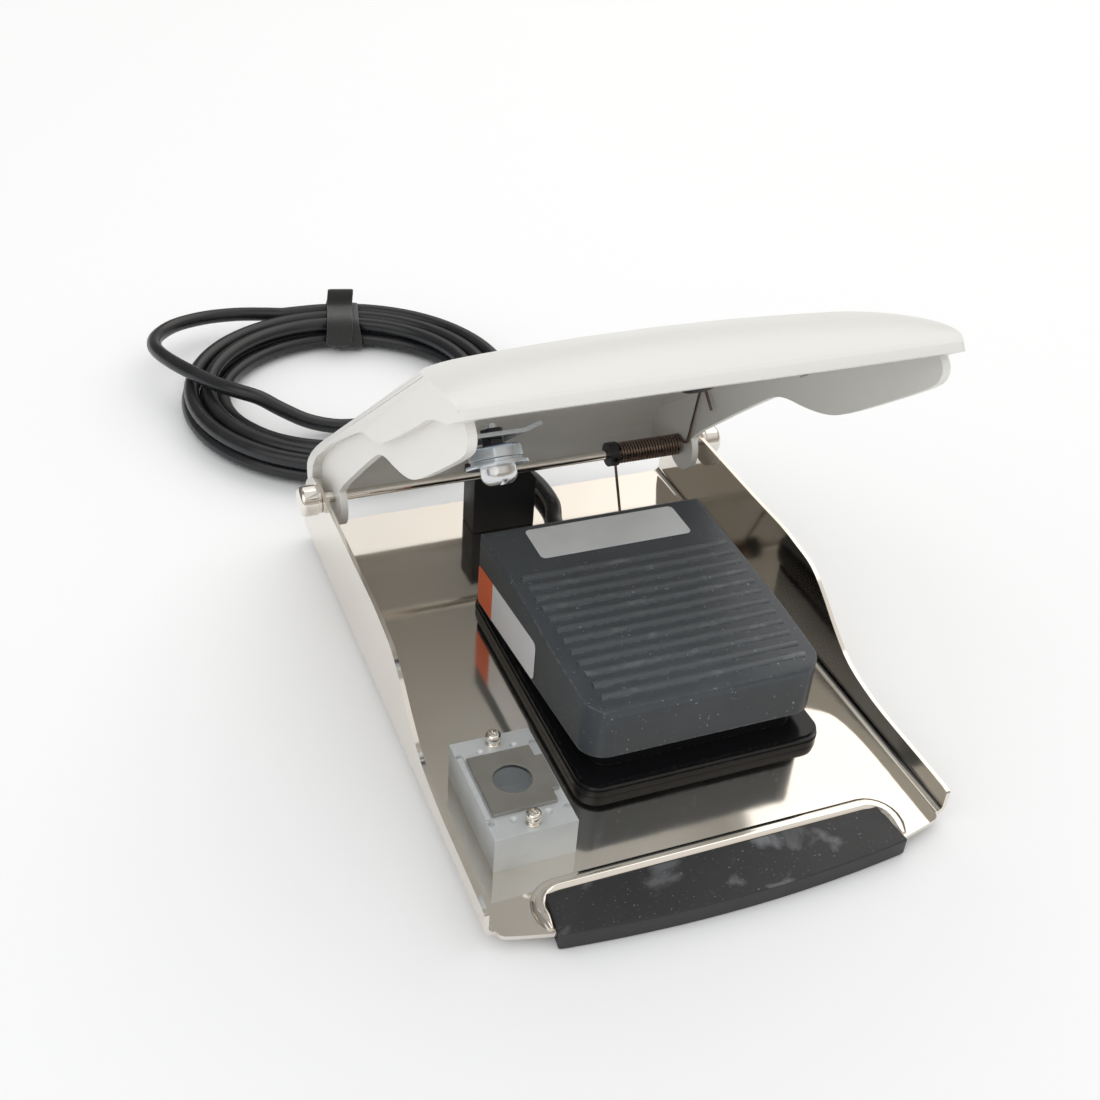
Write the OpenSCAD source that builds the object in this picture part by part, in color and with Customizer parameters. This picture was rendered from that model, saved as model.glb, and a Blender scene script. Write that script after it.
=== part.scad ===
// Treadle foot control: a sprung cast treadle on a bent sheet base, pressing
// a small electric foot switch, with a catch block, a coiled cord and a plug.
// Frame: +X right, +Y to the rear, +Z up; the origin is on the floor, in the
// middle of the control's footprint, without its cord.

/* [Base plate] */
// Width over the two side flanges
base_w = 162.5; // [150:0.5:180]
// Distance from the hinge to the front end of the side flanges
base_front = 192.5; // [187:0.5:205]
// Distance from the hinge to the rear edge of the base plate
base_rear = 28.5; // [28.5:0.5:40]
// Thickness of the base sheet
sheet_t = 1.5; // [1.2:0.1:2]
// Height of the underside of the plate above the floor
floor_gap = 3.5; // [3:0.1:6]
// Inside radius of the bend between plate and flange
bend_r = 2.5; // [1:0.1:4]
// Height of the side flange above the plate beside the hinge
flange_h = 35.6; // [35.6:0.1:40]
// Height of the low front end of the side flange above the plate
flange_low = 9; // [6:0.1:12]
// Width of the raised bead round the front pad
bead_w = 5.6; // [4:0.2:6]
// Height of the bead above the plate
bead_h = 1.7; // [1.2:0.1:2.2]

/* [Front pad and feet] */
// Width of the front pad at its rear edge
pad_w = 118; // [90:0.5:122]
// Length of the front pad on the plate, measured back from the flange ends
pad_back = 7.5; // [4:0.5:9]
// How far the pad stands out in front of the flange ends
pad_front = 12.5; // [8:0.5:20]
// Thickness of the pad above the plate
pad_top = 1.6; // [1:0.1:2]
// Diameter of a rear foot
foot_d = 14; // [8:0.5:18]

/* [Hinge] */
// Height of the pivot rod's axis above the plate
hinge_h = 31.4; // [31:0.1:31.8]
// Diameter of the pivot rod
rod_d = 4; // [3:0.1:5]
// Radial running clearance of the rod in its holes
run_gap = 0.05; // [0.02:0.01:0.08]
// Outside diameter of a push cap
cap_d = 12; // [9:0.1:14]
// Length of a push cap
cap_len = 8.5; // [6:0.1:12]

/* [Treadle] */
// Angle by which the treadle stands open at rest
open_angle = 38; // [36:0.5:38]
// How far the treadle's rim stands in from the flange's outer face on each side
rim_in = 2.05; // [1.85:0.05:3]
// Length of the treadle in front of the hinge
treadle_len = 190.4; // [187:0.1:193]
// Height of the crown of the treadle above the hinge
crown_h = 26.4; // [25:0.1:29]
// Wall thickness of the treadle
wall_t = 2.7; // [2:0.1:3]
// How far the side webs stand in from the rim
web_inset = 3.6; // [3:0.1:5]
// Thickness of a side web and its ear
web_t = 2.8; // [2:0.1:3.4]
// Radius of the ear round the pivot rod
ear_r = 11; // [9:0.1:12]
// Distance of the presser from the hinge
presser_y = 145; // [138:0.5:146]
// Height of the presser's tip above the hinge when the treadle lies level
presser_low = 4.5; // [4.5:0.1:8]
// Diameter of the presser
presser_d = 14; // [8:0.5:18]

/* [Treadle spring] */
// Outside diameter of the treadle spring
spring_d = 9; // [8:0.1:10]
// Wire diameter of the treadle spring
wire_d = 1.2; // [0.8:0.1:1.2]
// Length of the coiled part
spring_len = 28.6; // [27:0.1:29]
// Length of the collar beside the spring
collar_len = 4; // [3:0.1:6]
// Outside diameter of the collar
collar_d = 10; // [8:0.1:11]

/* [Striker] */
// Distance of the striker screw from the inner face of the side web
striker_in = 15.8; // [14:0.1:17.6]
// Distance of the striker screw from the hinge
striker_y = 149; // [147:0.5:151]
// Diameter of the striker screw's head
head_d = 10.6; // [8:0.1:11]
// Height of the striker screw's head
head_h = 5.2; // [3:0.1:5.6]
// Diameter of the striker puck
puck_d = 16; // [14:0.1:18]
// Thickness of the striker puck
puck_t = 3.8; // [3:0.1:3.8]
// Diameter of the large washer under the puck
washer_d = 18.7; // [17:0.1:20]
// Diameter of the striker screw's shank
shank_d = 3; // [2.5:0.1:4]

/* [Catch block] */
// Width of the catch block
catch_w = 27.5; // [26:0.1:27.8]
// Length of the catch block
catch_l = 44; // [43:0.1:48]
// Height of the catch block and its cover
catch_h = 15.4; // [14:0.1:15.5]
// Thickness of the catch cover
cover_t = 1.4; // [1:0.1:2]
// Diameter of the hole that takes the striker screw's head
catch_hole = 12.6; // [12.4:0.1:14]

/* [Foot switch] */
// Distance of the foot switch's middle from the middle of the base
switch_x = 13; // [9:0.1:15]
// How far the foot switch's base stands in from its pedal's rear on each side
base_in = 0.25; // [0:0.05:1]
// Length of the foot switch's base
switch_l = 113.5; // [112:0.5:115]
// Width of the switch pedal at its rear
pedal_w = 92; // [88:0.5:93]
// How far the pedal narrows to its front on each side
pedal_nip = 2.75; // [2.5:0.05:4]
// Length of the switch pedal
pedal_l = 106; // [104:0.5:107]
// Height of the pedal's front top edge above the plate
pedal_front_h = 32.5; // [30:0.1:32.6]
// Height of the pedal's rear top edge above the plate
pedal_rear_h = 36.6; // [34:0.1:37]
// Wall thickness of the pedal
pedal_wall = 2.5; // [2:0.1:3]
// Number of cross ribs on the pedal
rib_n = 12; // [6:1:13]
// Spacing of the cross ribs
rib_pitch = 5.8; // [5:0.1:5.9]

/* [Rear stop] */
// Width of the rear stop
stop_w = 27; // [15:0.5:30]
// Depth of the rear stop
stop_l = 13; // [8:0.5:14]
// Height of the rear stop
stop_h = 26.6; // [20:0.1:27]

/* [Cord] */
// Diameter of the cord
cord_d = 6.8; // [6:0.1:7]

/* [Plug] */
// Length of the plug's moulded boot
boot_l = 28; // [24:1:36]
// Diameter of the plug's boot
boot_d = 13; // [12:0.1:15]
// Length of the plug's sleeve
sleeve_l = 22; // [20:0.5:26]
// Diameter of the plug's sleeve
sleeve_d = 6.35; // [6.3:0.01:6.4]
// Length of the plug's tip
tip_l = 8; // [7.5:0.1:9]

/* [Hidden] */
$fn = 64;
eps = 0.01;

// the plate's upper face, and the hinge axis above the floor
plate_z = floor_gap + sheet_t;
hinge_z = plate_z + hinge_h;
treadle_w = base_w - 2 * rim_in;
ear_out = treadle_w / 2 - web_inset;
ear_in = ear_out - web_t;
striker_x = ear_in - striker_in;
pedal_front_w = pedal_w - 2 * pedal_nip;
switch_w = pedal_w - 2 * base_in;
// the footprint runs from the pad's nose to the plate's rear edge
shift_y = (base_front + pad_front - base_rear) / 2;

// ---------- helpers ----------
// everything below is drawn with the hinge axis at y = 0
module placed() translate([0, shift_y, 0]) children();
// a profile drawn as [y, z], made w wide along X about the middle
module along_x(w) rotate([90, 0, 90]) linear_extrude(w, center = true) children();
// a profile drawn as [x, z], run from y0 to y1
module along_y(y0, y1) translate([0, y1, 0]) rotate([90, 0, 0])
  linear_extrude(y1 - y0) children();
module round_rect(w, l, r) {
  square([w - 2 * r, l], center = true);
  square([w, l - 2 * r], center = true);
  for (sx = [-1, 1], sy = [-1, 1]) translate([sx * (w / 2 - r), sy * (l / 2 - r)]) circle(r);
}
module x_pin(r, len) rotate([0, 90, 0]) cylinder(r = r, h = len, center = true);
function unit(v) = v / norm(v);
// points on a Catmull-Rom curve through p, m steps to each span
function smooth(p, m) = concat([for (i = [0 : len(p) - 2], k = [0 : m - 1])
  let (t = k / m, a = p[max(i - 1, 0)], b = p[i], c = p[i + 1], d = p[min(i + 2, len(p) - 1)])
  0.5 * (2 * b + (c - a) * t + (2 * a - 5 * b + 4 * c - d) * t * t
    + (3 * b - a - 3 * c + d) * t * t * t)], [p[len(p) - 1]]);
// a profile moved inwards by t, to the right of its direction
function inner(p, t) = [for (i = [0 : len(p) - 1])
  let (d = unit(p[min(i + 1, len(p) - 1)] - p[max(i - 1, 0)])) p[i] + t * [d[1], -d[0]]];
// one ring of a tube, square to its direction
function ring(p, i, r, n, ref) =
  let (t = unit(p[min(i + 1, len(p) - 1)] - p[max(i - 1, 0)]),
    a = unit(cross(ref, t)), b = cross(t, a))
  [for (k = [0 : n - 1]) p[i] + r * (cos(360 * k / n) * a + sin(360 * k / n) * b)];
module tube(p, r, n, ref = [0, 0, 1]) {
  m = len(p);
  pts = [for (i = [0 : m - 1]) each ring(p, i, r, n, ref)];
  sides = [for (i = [0 : m - 2], k = [0 : n - 1]) let (k2 = (k + 1) % n)
    each [[i * n + k, (i + 1) * n + k, (i + 1) * n + k2], [i * n + k, (i + 1) * n + k2, i * n + k2]]];
  ends = [for (k = [1 : n - 2]) each [[0, k, k + 1], [(m - 1) * n, (m - 1) * n + k + 1, (m - 1) * n + k]]];
  polyhedron(pts, concat(sides, ends));
}
function length_of(p, i = 1) = i >= len(p) ? 0 : norm(p[i] - p[i - 1]) + length_of(p, i + 1);
// least gap between stretches of a tube that are s points or more apart
function least_gap(p, d, s) = min([for (i = [0 : len(p) - 1 - s]) min([for (j = [i + s : len(p) - 1])
  norm(p[i] - p[j])])]) - d;
// a pan-headed screw with its head's underside at z = 0, shank down
module pan_screw(head, h, shank, len) {
  rotate_extrude() polygon(concat([[0, -len], [shank / 2, -len], [shank / 2, 0], [head / 2, 0]],
    [for (a = [0 : 15 : 90]) [head / 2 - h * 0.6 + h * 0.6 * cos(a), h * 0.4 + h * 0.6 * sin(a)]],
    [[0, h]]));
}

// ---------- base ----------
flange_out = base_w / 2;
flange_in = flange_out - sheet_t;
bend_o = bend_r + sheet_t;
low_z = plate_z + flange_low;
high_z = plate_z + flange_h;
// the flange's upper edge, from the front end back, as [y, z]
flange_edge = smooth([[-base_front, low_z - 1.5], [-base_front + 3, low_z - 0.2],
  [-base_front + 25.5, low_z], [-base_front + 45.5, low_z + 0.6], [-130, low_z + 3.6],
  [-118, plate_z + 19], [-106, plate_z + 27.5], [-96, plate_z + 33], [-85, high_z - 1],
  [-72, high_z], [-50, high_z - 0.4], [0, high_z - 0.4], [8, high_z - 0.8],
  [base_rear - 10, high_z - 6], [base_rear - 3, high_z - 15], [base_rear, plate_z + 8]], 3);

module channel_section() {
  translate([-(flange_out - bend_o), floor_gap]) square([2 * (flange_out - bend_o), sheet_t]);
  for (s = [-1, 1]) {
    translate([s * (flange_out - sheet_t / 2), (floor_gap + bend_o + high_z) / 2])
      square([sheet_t, high_z - floor_gap - bend_o], center = true);
    translate([s * (flange_out - bend_o), floor_gap + bend_o]) intersection() {
      difference() { circle(bend_o); circle(bend_r); }
      translate([s > 0 ? 0 : -bend_o, -bend_o]) square(bend_o);
    }
  }
}
bead_x = pad_w / 2 + bead_w / 2 + 0.4;
bead_y = -base_front + pad_back + bead_w / 2 + 0.4;
bead_corner = 8;
// the bead's path, right half, as [x, y, share of the full width and height]: across
// behind the pad, round the corner, then forwards and inwards as it fades out
bead_half = concat([for (a = [90 : -15 : 0])
  [bead_x - bead_corner + bead_corner * cos(a), bead_y - bead_corner + bead_corner * sin(a), 1]],
  [[bead_x - 0.2, bead_y - bead_corner - 3, 0.95], [pad_w / 2 + 2.6, -base_front - 4.6, 0.45]]);
bead_path = concat(
  [for (i = [len(bead_half) - 1 : -1 : 0]) [-bead_half[i].x, bead_half[i].y, bead_half[i].z]],
  bead_half);
// an outline [sideways, up] carried along a flat path at height z
module swept(path, outline, z) {
  n = len(path);
  m = len(outline);
  polyhedron([for (i = [0 : n - 1], q = outline) let (t = unit([for (c = [0, 1])
      path[min(i + 1, n - 1)][c] - path[max(i - 1, 0)][c]]))
      [path[i].x - q.x * path[i].z * t.y, path[i].y + q.x * path[i].z * t.x, z + q.y * path[i].z]],
    concat([[for (k = [m - 1 : -1 : 0]) k]], [[for (k = [0 : m - 1]) (n - 1) * m + k]],
      [for (i = [0 : n - 2], k = [0 : m - 1]) let (k2 = (k + 1) % m)
        each [[i * m + k, i * m + k2, (i + 1) * m + k], [i * m + k2, (i + 1) * m + k2, (i + 1) * m + k]]]));
}
// the bead's section from one side to the other: half width, lowest point and top
function bead_section(w, low, top) = [[-w, low], [-w, 0.16 * top], [-0.83 * w, 0.52 * top],
  [-0.52 * w, 0.87 * top], [-0.18 * w, top], [0.18 * w, top], [0.52 * w, 0.87 * top],
  [0.83 * w, 0.52 * top], [w, 0.16 * top], [w, low]];
// the plate's front edge, right half, as [in from the bend, out past the flange end]
front_half = [[0, 0.5], [0.45, 1.6], [1.65, 2.6], [4.25, 3.4], [9.25, 4.6], [15.25, 6.1], [32.25, 7.1],
  [52.25, 7.6]];
bend_x = flange_out - bend_o;
front_edge = concat([for (p = front_half) [-bend_x + p.x, -base_front - p.y]],
  [for (i = [len(front_half) - 1 : -1 : 0]) [bend_x - front_half[i].x, -base_front - front_half[i].y]]);
switch_y = -38.5 - switch_l / 2;
bolt_in = [16, 17];
switch_bolts = [for (sx = [-1, 1], sy = [-1, 1]) [switch_x + sx * (switch_w / 2 - bolt_in.x),
  switch_y + sy * (switch_l / 2 - bolt_in.y)]];
catch_y = -striker_y;
catch_x = -striker_x + 0.2;
catch_span = 18.4;
catch_bolts = [[catch_x, catch_y + catch_span], [catch_x, catch_y - catch_span]];
bolt_d = 3;
bolt_play = 0.3;

module base_plate() color([0.82, 0.80, 0.76]) placed() difference() {
  union() {
    intersection() {
      along_y(-base_front, base_rear) channel_section();
      along_x(base_w + 2) polygon(concat(flange_edge, [[base_rear, 0], [-base_front, 0]]));
    }
    translate([0, 0, floor_gap]) linear_extrude(sheet_t)
      polygon(concat(front_edge, [[flange_out - bend_o, -base_front + 20],
        [-flange_out + bend_o, -base_front + 20]]));
    swept(bead_path, bead_section(bead_w / 2, -0.7, bead_h), plate_z);
  }
  swept(bead_path, bead_section(bead_w / 2 - 1.1, -1, bead_h - 0.6), floor_gap);
  translate([0, 0, hinge_z]) x_pin(rod_d / 2 + run_gap, base_w + 2);
  for (b = switch_bolts) translate([b[0], b[1], 0]) cylinder(d = bolt_d + bolt_play, h = plate_z + 1);
  for (b = catch_bolts) translate([b[0], b[1], 0]) cylinder(d = bolt_d + bolt_play, h = plate_z + 1);
}

module pad_plan() polygon(concat(
  [[-pad_w / 2, -base_front + pad_back], [-pad_w / 2 - 1.6, -base_front - pad_front + 4]],
  [for (i = [-9 : 9]) [i * (pad_w / 2 - 0.5) / 9, -base_front - pad_front + 3.6 * pow(i / 9, 2)]],
  [[pad_w / 2 + 1.6, -base_front - pad_front + 4], [pad_w / 2, -base_front + pad_back]]));
module front_pad() color([0.10, 0.10, 0.11]) placed() difference() {
  linear_extrude(plate_z + pad_top) pad_plan();
  translate([0, 0, floor_gap]) linear_extrude(sheet_t) polygon(concat(front_edge,
    [[flange_out, -base_front + 20], [-flange_out, -base_front + 20]]));
}
module rear_feet() color([0.10, 0.10, 0.11]) placed()
  for (s = [-1, 1]) translate([s * (flange_out - bend_o - foot_d / 2 - 3), base_rear - foot_d / 2 - 4, 0])
    cylinder(d = foot_d, h = floor_gap);

// ---------- hinge ----------
cap_gap = 0.1;
rod_half = flange_out + cap_gap + cap_len - 2.2;
module pivot_rod() color([0.78, 0.78, 0.80]) placed() translate([0, 0, hinge_z])
  x_pin(rod_d / 2, 2 * rod_half);
module rod_caps() color([0.86, 0.84, 0.80]) placed()
  for (s = [0, 1]) mirror([s, 0, 0]) translate([flange_out + cap_gap, 0, hinge_z]) rotate([0, 90, 0])
    rotate_extrude() polygon(concat(
      [[rod_d / 2, 0], [cap_d / 2 - 0.5, 0], [cap_d / 2 - 0.5, 1.2], [cap_d / 2, 1.5]],
      [for (a = [0 : 15 : 90]) [cap_d / 2 - 2 + 2 * cos(a), cap_len - 2.4 + 2 * sin(a)]],
      [[0, cap_len], [0, rod_half - flange_out - cap_gap], [rod_d / 2, rod_half - flange_out - cap_gap]]));

spring_x1 = ear_in - 0.6;
spring_x0 = spring_x1 - spring_len;
coil_r = (spring_d - wire_d) / 2;
module spring_collar() color([0.08, 0.08, 0.09]) placed()
  translate([spring_x0 - collar_len - 0.4, 0, hinge_z]) rotate([0, 90, 0]) difference() {
    cylinder(d = collar_d, h = collar_len);
    translate([0, 0, -1]) cylinder(d = rod_d, h = collar_len + 2);
    translate([0, 0, collar_len / 2]) rotate([90, 0, 0]) cylinder(d = 2, h = collar_d, $fn = 24);
  }

// torsion spring: a lower leg to the plate, the turns on the rod, and an
// upper leg that hooks up under the treadle
spring_turns = 16;
leg_low = 26;
turn_total = 360 * spring_turns + 90 + leg_low;
low_dir = [0, -sin(leg_low), -cos(leg_low)];
spring_steps = ceil(turn_total / 45);
function coil_pt(f) = let (a = f * turn_total - leg_low)
  [spring_x0 + wire_d / 2 + f * (spring_len - wire_d), coil_r * cos(a), hinge_z + coil_r * sin(a)];
leg_start = coil_pt(0);
low_len = (leg_start[2] - plate_z - wire_d / 2 - 0.05) / cos(leg_low);
// the upper leg, as [inwards, forwards, up] from the coil's end
leg_points = [[0, 1.5, 0], [0.1, 4.6, 0.1], [0.2, 7.2, 1.1], [0.2, 8.5, 4], [0.5, 11, 16],
  [0.9, 13.8, 28.8], [1, 14.6, 31], [1.1, 16.4, 31.8], [1.1, 18.6, 31], [1.2, 21.6, 28.8], [1.3, 25, 26.2]];
spring_path = concat(
  [leg_start + low_len * low_dir + [0, -5, 0.3], leg_start + low_len * low_dir + [0, -1, 0.1],
    leg_start + (low_len - 1.2) * low_dir, leg_start + low_len * 0.5 * low_dir, leg_start + 1 * low_dir],
  [for (i = [0 : spring_steps]) coil_pt(i / spring_steps)],
  [for (p = leg_points) coil_pt(1) + [-p[0], -p[1], p[2]]]);
module treadle_spring() color([0.22, 0.17, 0.13]) placed() tube(spring_path, wire_d / 2, 6, [1, 0, 0]);

// ---------- treadle ----------
// drawn level, as [y, z] from the hinge axis, the front towards -y
lip_z = 0.5;
crown_side = smooth([[28.4, 2], [28.4, 8], [27, 12.5], [23.5, 16.4], [17, 19.4], [6, crown_h - 4.8],
  [-15, crown_h - 3], [-40, crown_h - 1.4], [-62, crown_h - 0.3], [-85, crown_h], [-105, crown_h - 0.1],
  [-120, crown_h - 0.5], [-135, crown_h - 1.5], [-treadle_len + 42.4, crown_h - 3.2],
  [-treadle_len + 30.4, crown_h - 5.7], [-treadle_len + 20.4, crown_h - 8.8],
  [-treadle_len + 12.4, crown_h - 12.4], [-treadle_len + 6.4, crown_h - 16.2],
  [-treadle_len + 2.4, 6.4], [-treadle_len + 0.3, 3.4], [-treadle_len, lip_z]], 2);
// the rim's lower line, from the front back
rim_line = [[-treadle_len, lip_z], [-treadle_len + 9.9, 1.1], [-treadle_len + 20.8, 4.4],
  [-treadle_len + 28.5, 5.7], [-146, 5.6], [-121, 6.3], [-106, 7.3], [-98, 9.6], [-90, 14], [-83, 17],
  [-76, 18.2], [-55, 18.9], [-27, 18.3], [2, 16.6], [13, 14], [18.4, 9], [19, 2]];
// the side web's lower line, with its notch and its lobe
web_line = smooth([[-184.5, lip_z], [-185, -3], [-182.5, -6.2], [-176, -7.7], [-155, -8.1], [-138, -8.1],
  [-128.6, -7.9], [-121.5, -7.2], [-114.8, -5.6], [-107.3, -3], [-100, 0.1], [-92.6, 3.5], [-84.6, 5.7],
  [-74.5, 5.7], [-57, 4.7], [-38, 3.4], [-20, 2.1], [-9, 0]], 2);
// across the treadle: a low crown, then round shoulders
function crown_across(w, h, r, low) = concat([[w / 2, low]],
  [for (a = [0 : 15 : 75]) [w / 2 - r + r * cos(a), h - 3.2 - r + r * sin(a)]],
  [for (i = [9 : -1 : -9]) let (x = i * (w / 2 - r) / 9) [x, h - 3.2 * pow(x / (w / 2), 2)]],
  [for (a = [105 : 15 : 180]) [-w / 2 + r + r * cos(a), h - 3.2 - r + r * sin(a)]], [[-w / 2, low]]);
module across(w, h, r, low, y0 = -treadle_len - 10, y1 = 40)
  along_y(y0, y1) polygon(crown_across(w, h, r, low));
shell_in = concat([[crown_side[0][0] - wall_t, -20]], inner(crown_side, -wall_t),
  [[-treadle_len + wall_t, -20]]);
boss_top = crown_h - wall_t - 4;
module open_pose() translate([0, 0, hinge_z]) rotate([-open_angle, 0, 0]) children();

module treadle() color([0.93, 0.92, 0.89]) placed() open_pose() difference() {
  union() {
    difference() {
      union() {
        intersection() {
          along_x(treadle_w) polygon(concat(crown_side, rim_line));
          across(treadle_w, crown_h, 7, -20);
        }
        intersection() {
          along_x(2 * ear_out)
            polygon(concat(crown_side, web_line, [[0, 0], [14, 1], [crown_side[0][0], 2]]));
          across(2 * ear_out, crown_h - 0.6, 5, -20);
        }
      }
      intersection() {
        along_x(treadle_w) polygon(shell_in);
        union() {
          across(2 * ear_in, crown_h - wall_t, 5, -30);
          intersection() {
            across(treadle_w - 2 * web_t - 0.4, crown_h - wall_t, 5, 9.6);
            translate([0, -142.5, 0]) cube([200, 77, 100], center = true);
          }
        }
      }
    }
    for (s = [-1, 1]) translate([s * (ear_in + ear_out) / 2, 0, 0]) x_pin(ear_r, web_t);
    intersection() {
      translate([switch_x, -presser_y, presser_low + 7]) cylinder(d = presser_d - 4, h = 30);
      along_x(treadle_w) polygon(concat(crown_side, [[-treadle_len, -5], [30, -5]]));
      across(treadle_w, crown_h, 7, -20);
    }
  }
  x_pin(rod_d / 2 + run_gap, treadle_w + 4);
  for (w = rivets) translate([-ear_in - web_t + 0.8, w, bracket_z + rivet_up]) rotate([0, 90, 0])
    cylinder(d = rivet_d, h = web_t, $fn = 24);
}
module presser_pad() color([0.12, 0.12, 0.13]) placed() open_pose()
  translate([switch_x, -presser_y, presser_low]) difference() {
    rotate_extrude() polygon(concat([[0, 0]], [for (i = [0 : 6]) let (a = i * 15)
      [presser_d / 2 - 4 + 4 * sin(a), 4 - 4 * cos(a)]], [[presser_d / 2, 9], [0, 9]]));
    translate([0, 0, 7]) cylinder(d = presser_d - 4, h = 10);
  }

// ---------- striker, drawn level from the hinge axis ----------
washer_low = -9.4;
washer_t = 1.1;
puck_low = washer_low + 2 * washer_t;
bracket_t = 1.2;
nut_t = 2;
nut_w = 7;
bracket_z = puck_low + puck_t + nut_t;
leaf_l = 20;
leaf_over = 7;
leaf_lip = 5.5;
tab_h = 12;
rivet_d = 2.5;
rivet_up = 7;
rivets = [-striker_y - leaf_l * 0.35, -striker_y + leaf_l * 0.35];
tip_z = bracket_z + bracket_t + 3.4;
module striker_at() placed() open_pose() translate([-striker_x, -striker_y, 0]) children();
module striker_bracket() color([0.75, 0.76, 0.78]) placed() open_pose() difference() {
  union() {
    // the leaf, with its free end bent up
    translate([-ear_in, -striker_y - leaf_l / 2, bracket_z])
      cube([striker_in + leaf_over, leaf_l, bracket_t]);
    translate([-striker_x + leaf_over, -striker_y - leaf_l / 2, bracket_z]) rotate([0, -16, 0])
      cube([leaf_lip, leaf_l, bracket_t]);
    translate([-ear_in, -striker_y - leaf_l * 0.6, bracket_z]) cube([bracket_t, leaf_l * 1.2, tab_h]);
    for (w = rivets) translate([-ear_in - web_t + 0.8, w, bracket_z + rivet_up]) rotate([0, 90, 0])
      cylinder(d = rivet_d, h = web_t - 0.8 + bracket_t + 0.8, $fn = 24);
  }
  translate([-striker_x, -striker_y, bracket_z - 1]) cylinder(d = shank_d + 0.3, h = 4);
}
module striker_screw() color([0.80, 0.80, 0.80]) striker_at() difference() {
  mirror([0, 0, 1]) translate([0, 0, -washer_low]) pan_screw(head_d, head_h, shank_d, tip_z - washer_low);
  translate([0, 0, washer_low - head_h - 1]) cube([1.6, head_d + 1, 4.4], center = true);
}
module striker_washers() color([0.72, 0.75, 0.78]) striker_at() difference() {
  union() {
    translate([0, 0, washer_low]) cylinder(d = washer_d, h = washer_t);
    translate([0, 0, washer_low + washer_t]) cylinder(d = washer_d - 3.4, h = washer_t);
  }
  translate([0, 0, washer_low - 1]) cylinder(d = shank_d + 0.3, h = 6);
}
module striker_puck() color([0.66, 0.70, 0.74]) striker_at() translate([0, 0, puck_low]) difference() {
  rotate_extrude() polygon([[0, 0], [puck_d / 2, 0], [puck_d / 2, puck_t - 0.8], [puck_d / 2 - 0.8, puck_t],
    [0, puck_t]]);
  translate([0, 0, -1]) cylinder(d = shank_d + 0.3, h = puck_t + 2);
}
module striker_nut() color([0.10, 0.10, 0.11]) striker_at() difference() {
  union() {
    translate([0, 0, puck_low + puck_t]) cylinder(d = nut_w, h = nut_t, $fn = 6);
    translate([0, 0, bracket_z + bracket_t]) cylinder(d = nut_w, h = nut_t, $fn = 6);
  }
  translate([0, 0, puck_low]) cylinder(d = shank_d, h = 20);
}

// ---------- catch block ----------
pocket_l = 17;
pocket_w = catch_w - 8;
cover_z = plate_z + catch_h - cover_t;
cover_left = catch_w / 2 - 2.6;
cover_right = catch_w / 2 - 0.8;
screw_lift = 2.2;
bolt_head = 5.2;
bolt_head_h = 2.6;
catch_nut_h = 2.3;
cover_l = 26;
seat_l = 15.6;
module cover_plan() {
  translate([-cover_left, -cover_l / 2]) square([cover_left + cover_right - 2.6, cover_l]);
  translate([-cover_left, -seat_l / 2]) square([cover_left + cover_right, seat_l]);
}
module catch_body() color([0.80, 0.80, 0.79]) placed() translate([catch_x, catch_y, plate_z]) difference() {
  union() {
    translate([-catch_w / 2, -catch_l / 2, 0]) cube([catch_w, catch_l, catch_h - cover_t]);
    // a rail that stands beside the cover
    translate([-catch_w / 2, -cover_l / 2 - 1, 0]) cube([1.6, cover_l + 2, catch_h - 0.5]);
  }
  translate([-pocket_w / 2, -pocket_l / 2, 3.6]) cube([pocket_w, pocket_l, catch_h]);
  for (b = catch_bolts) translate([b[0] - catch_x, b[1] - catch_y, -1])
    cylinder(d = bolt_d + bolt_play, h = catch_h + 2);
  // dimples beside the screws, and round notches in the corners of the cover's seat
  for (sx = [-1, 1], sy = [-1, 1]) {
    translate([sx * 5.8 + 0.4, sy * 15.6, catch_h - cover_t - 0.9]) cylinder(d1 = 0.8, d2 = 3.4, h = 1.2);
    translate([sx * (catch_w / 2 - 1.2), sy * 15.2, catch_h - cover_t - 1.4]) cylinder(d = 2.4, h = 4);
  }
}
module catch_cover() color([0.72, 0.71, 0.68]) placed() translate([catch_x, catch_y, cover_z])
  difference() {
    linear_extrude(cover_t) cover_plan();
    translate([0, 0, -1]) cylinder(d = catch_hole, h = cover_t + 2);
  }
module catch_screws() color([0.85, 0.82, 0.74]) placed() for (b = catch_bolts)
  translate([b[0], b[1], cover_z + screw_lift]) difference() {
    union() {
      pan_screw(bolt_head, bolt_head_h, bolt_d,
        catch_h - cover_t + screw_lift + sheet_t + catch_nut_h + 0.3);
      // lock washer under the head
      translate([0, 0, -screw_lift]) cylinder(d = bolt_head + 0.3, h = 0.8);
      translate([0, 0, -screw_lift + 0.8]) cylinder(d = bolt_head - 0.9, h = screw_lift - 0.8);
    }
    for (a = [45, 135]) rotate([0, 0, a]) translate([0, 0, bolt_head_h])
      cube([0.55 * bolt_head, 0.8, 2.4], center = true);
  }
module catch_nuts() color([0.75, 0.75, 0.74]) placed() for (b = catch_bolts)
  translate([b[0], b[1], floor_gap - catch_nut_h]) difference() {
    cylinder(d = bolt_head, h = catch_nut_h, $fn = 6);
    translate([0, 0, -1]) cylinder(d = bolt_d, h = 5);
  }

// ---------- rear stop, behind the rod ----------
module rear_stop() color([0.07, 0.07, 0.08]) placed() translate([-3.4, 3.8, plate_z])
  along_y(0, stop_l) polygon([[-stop_w / 2, 0], [-stop_w / 2, stop_h], [stop_w / 2 - 3.2, stop_h],
    [stop_w / 2, stop_h - 4], [stop_w / 2, 0]]);

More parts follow.
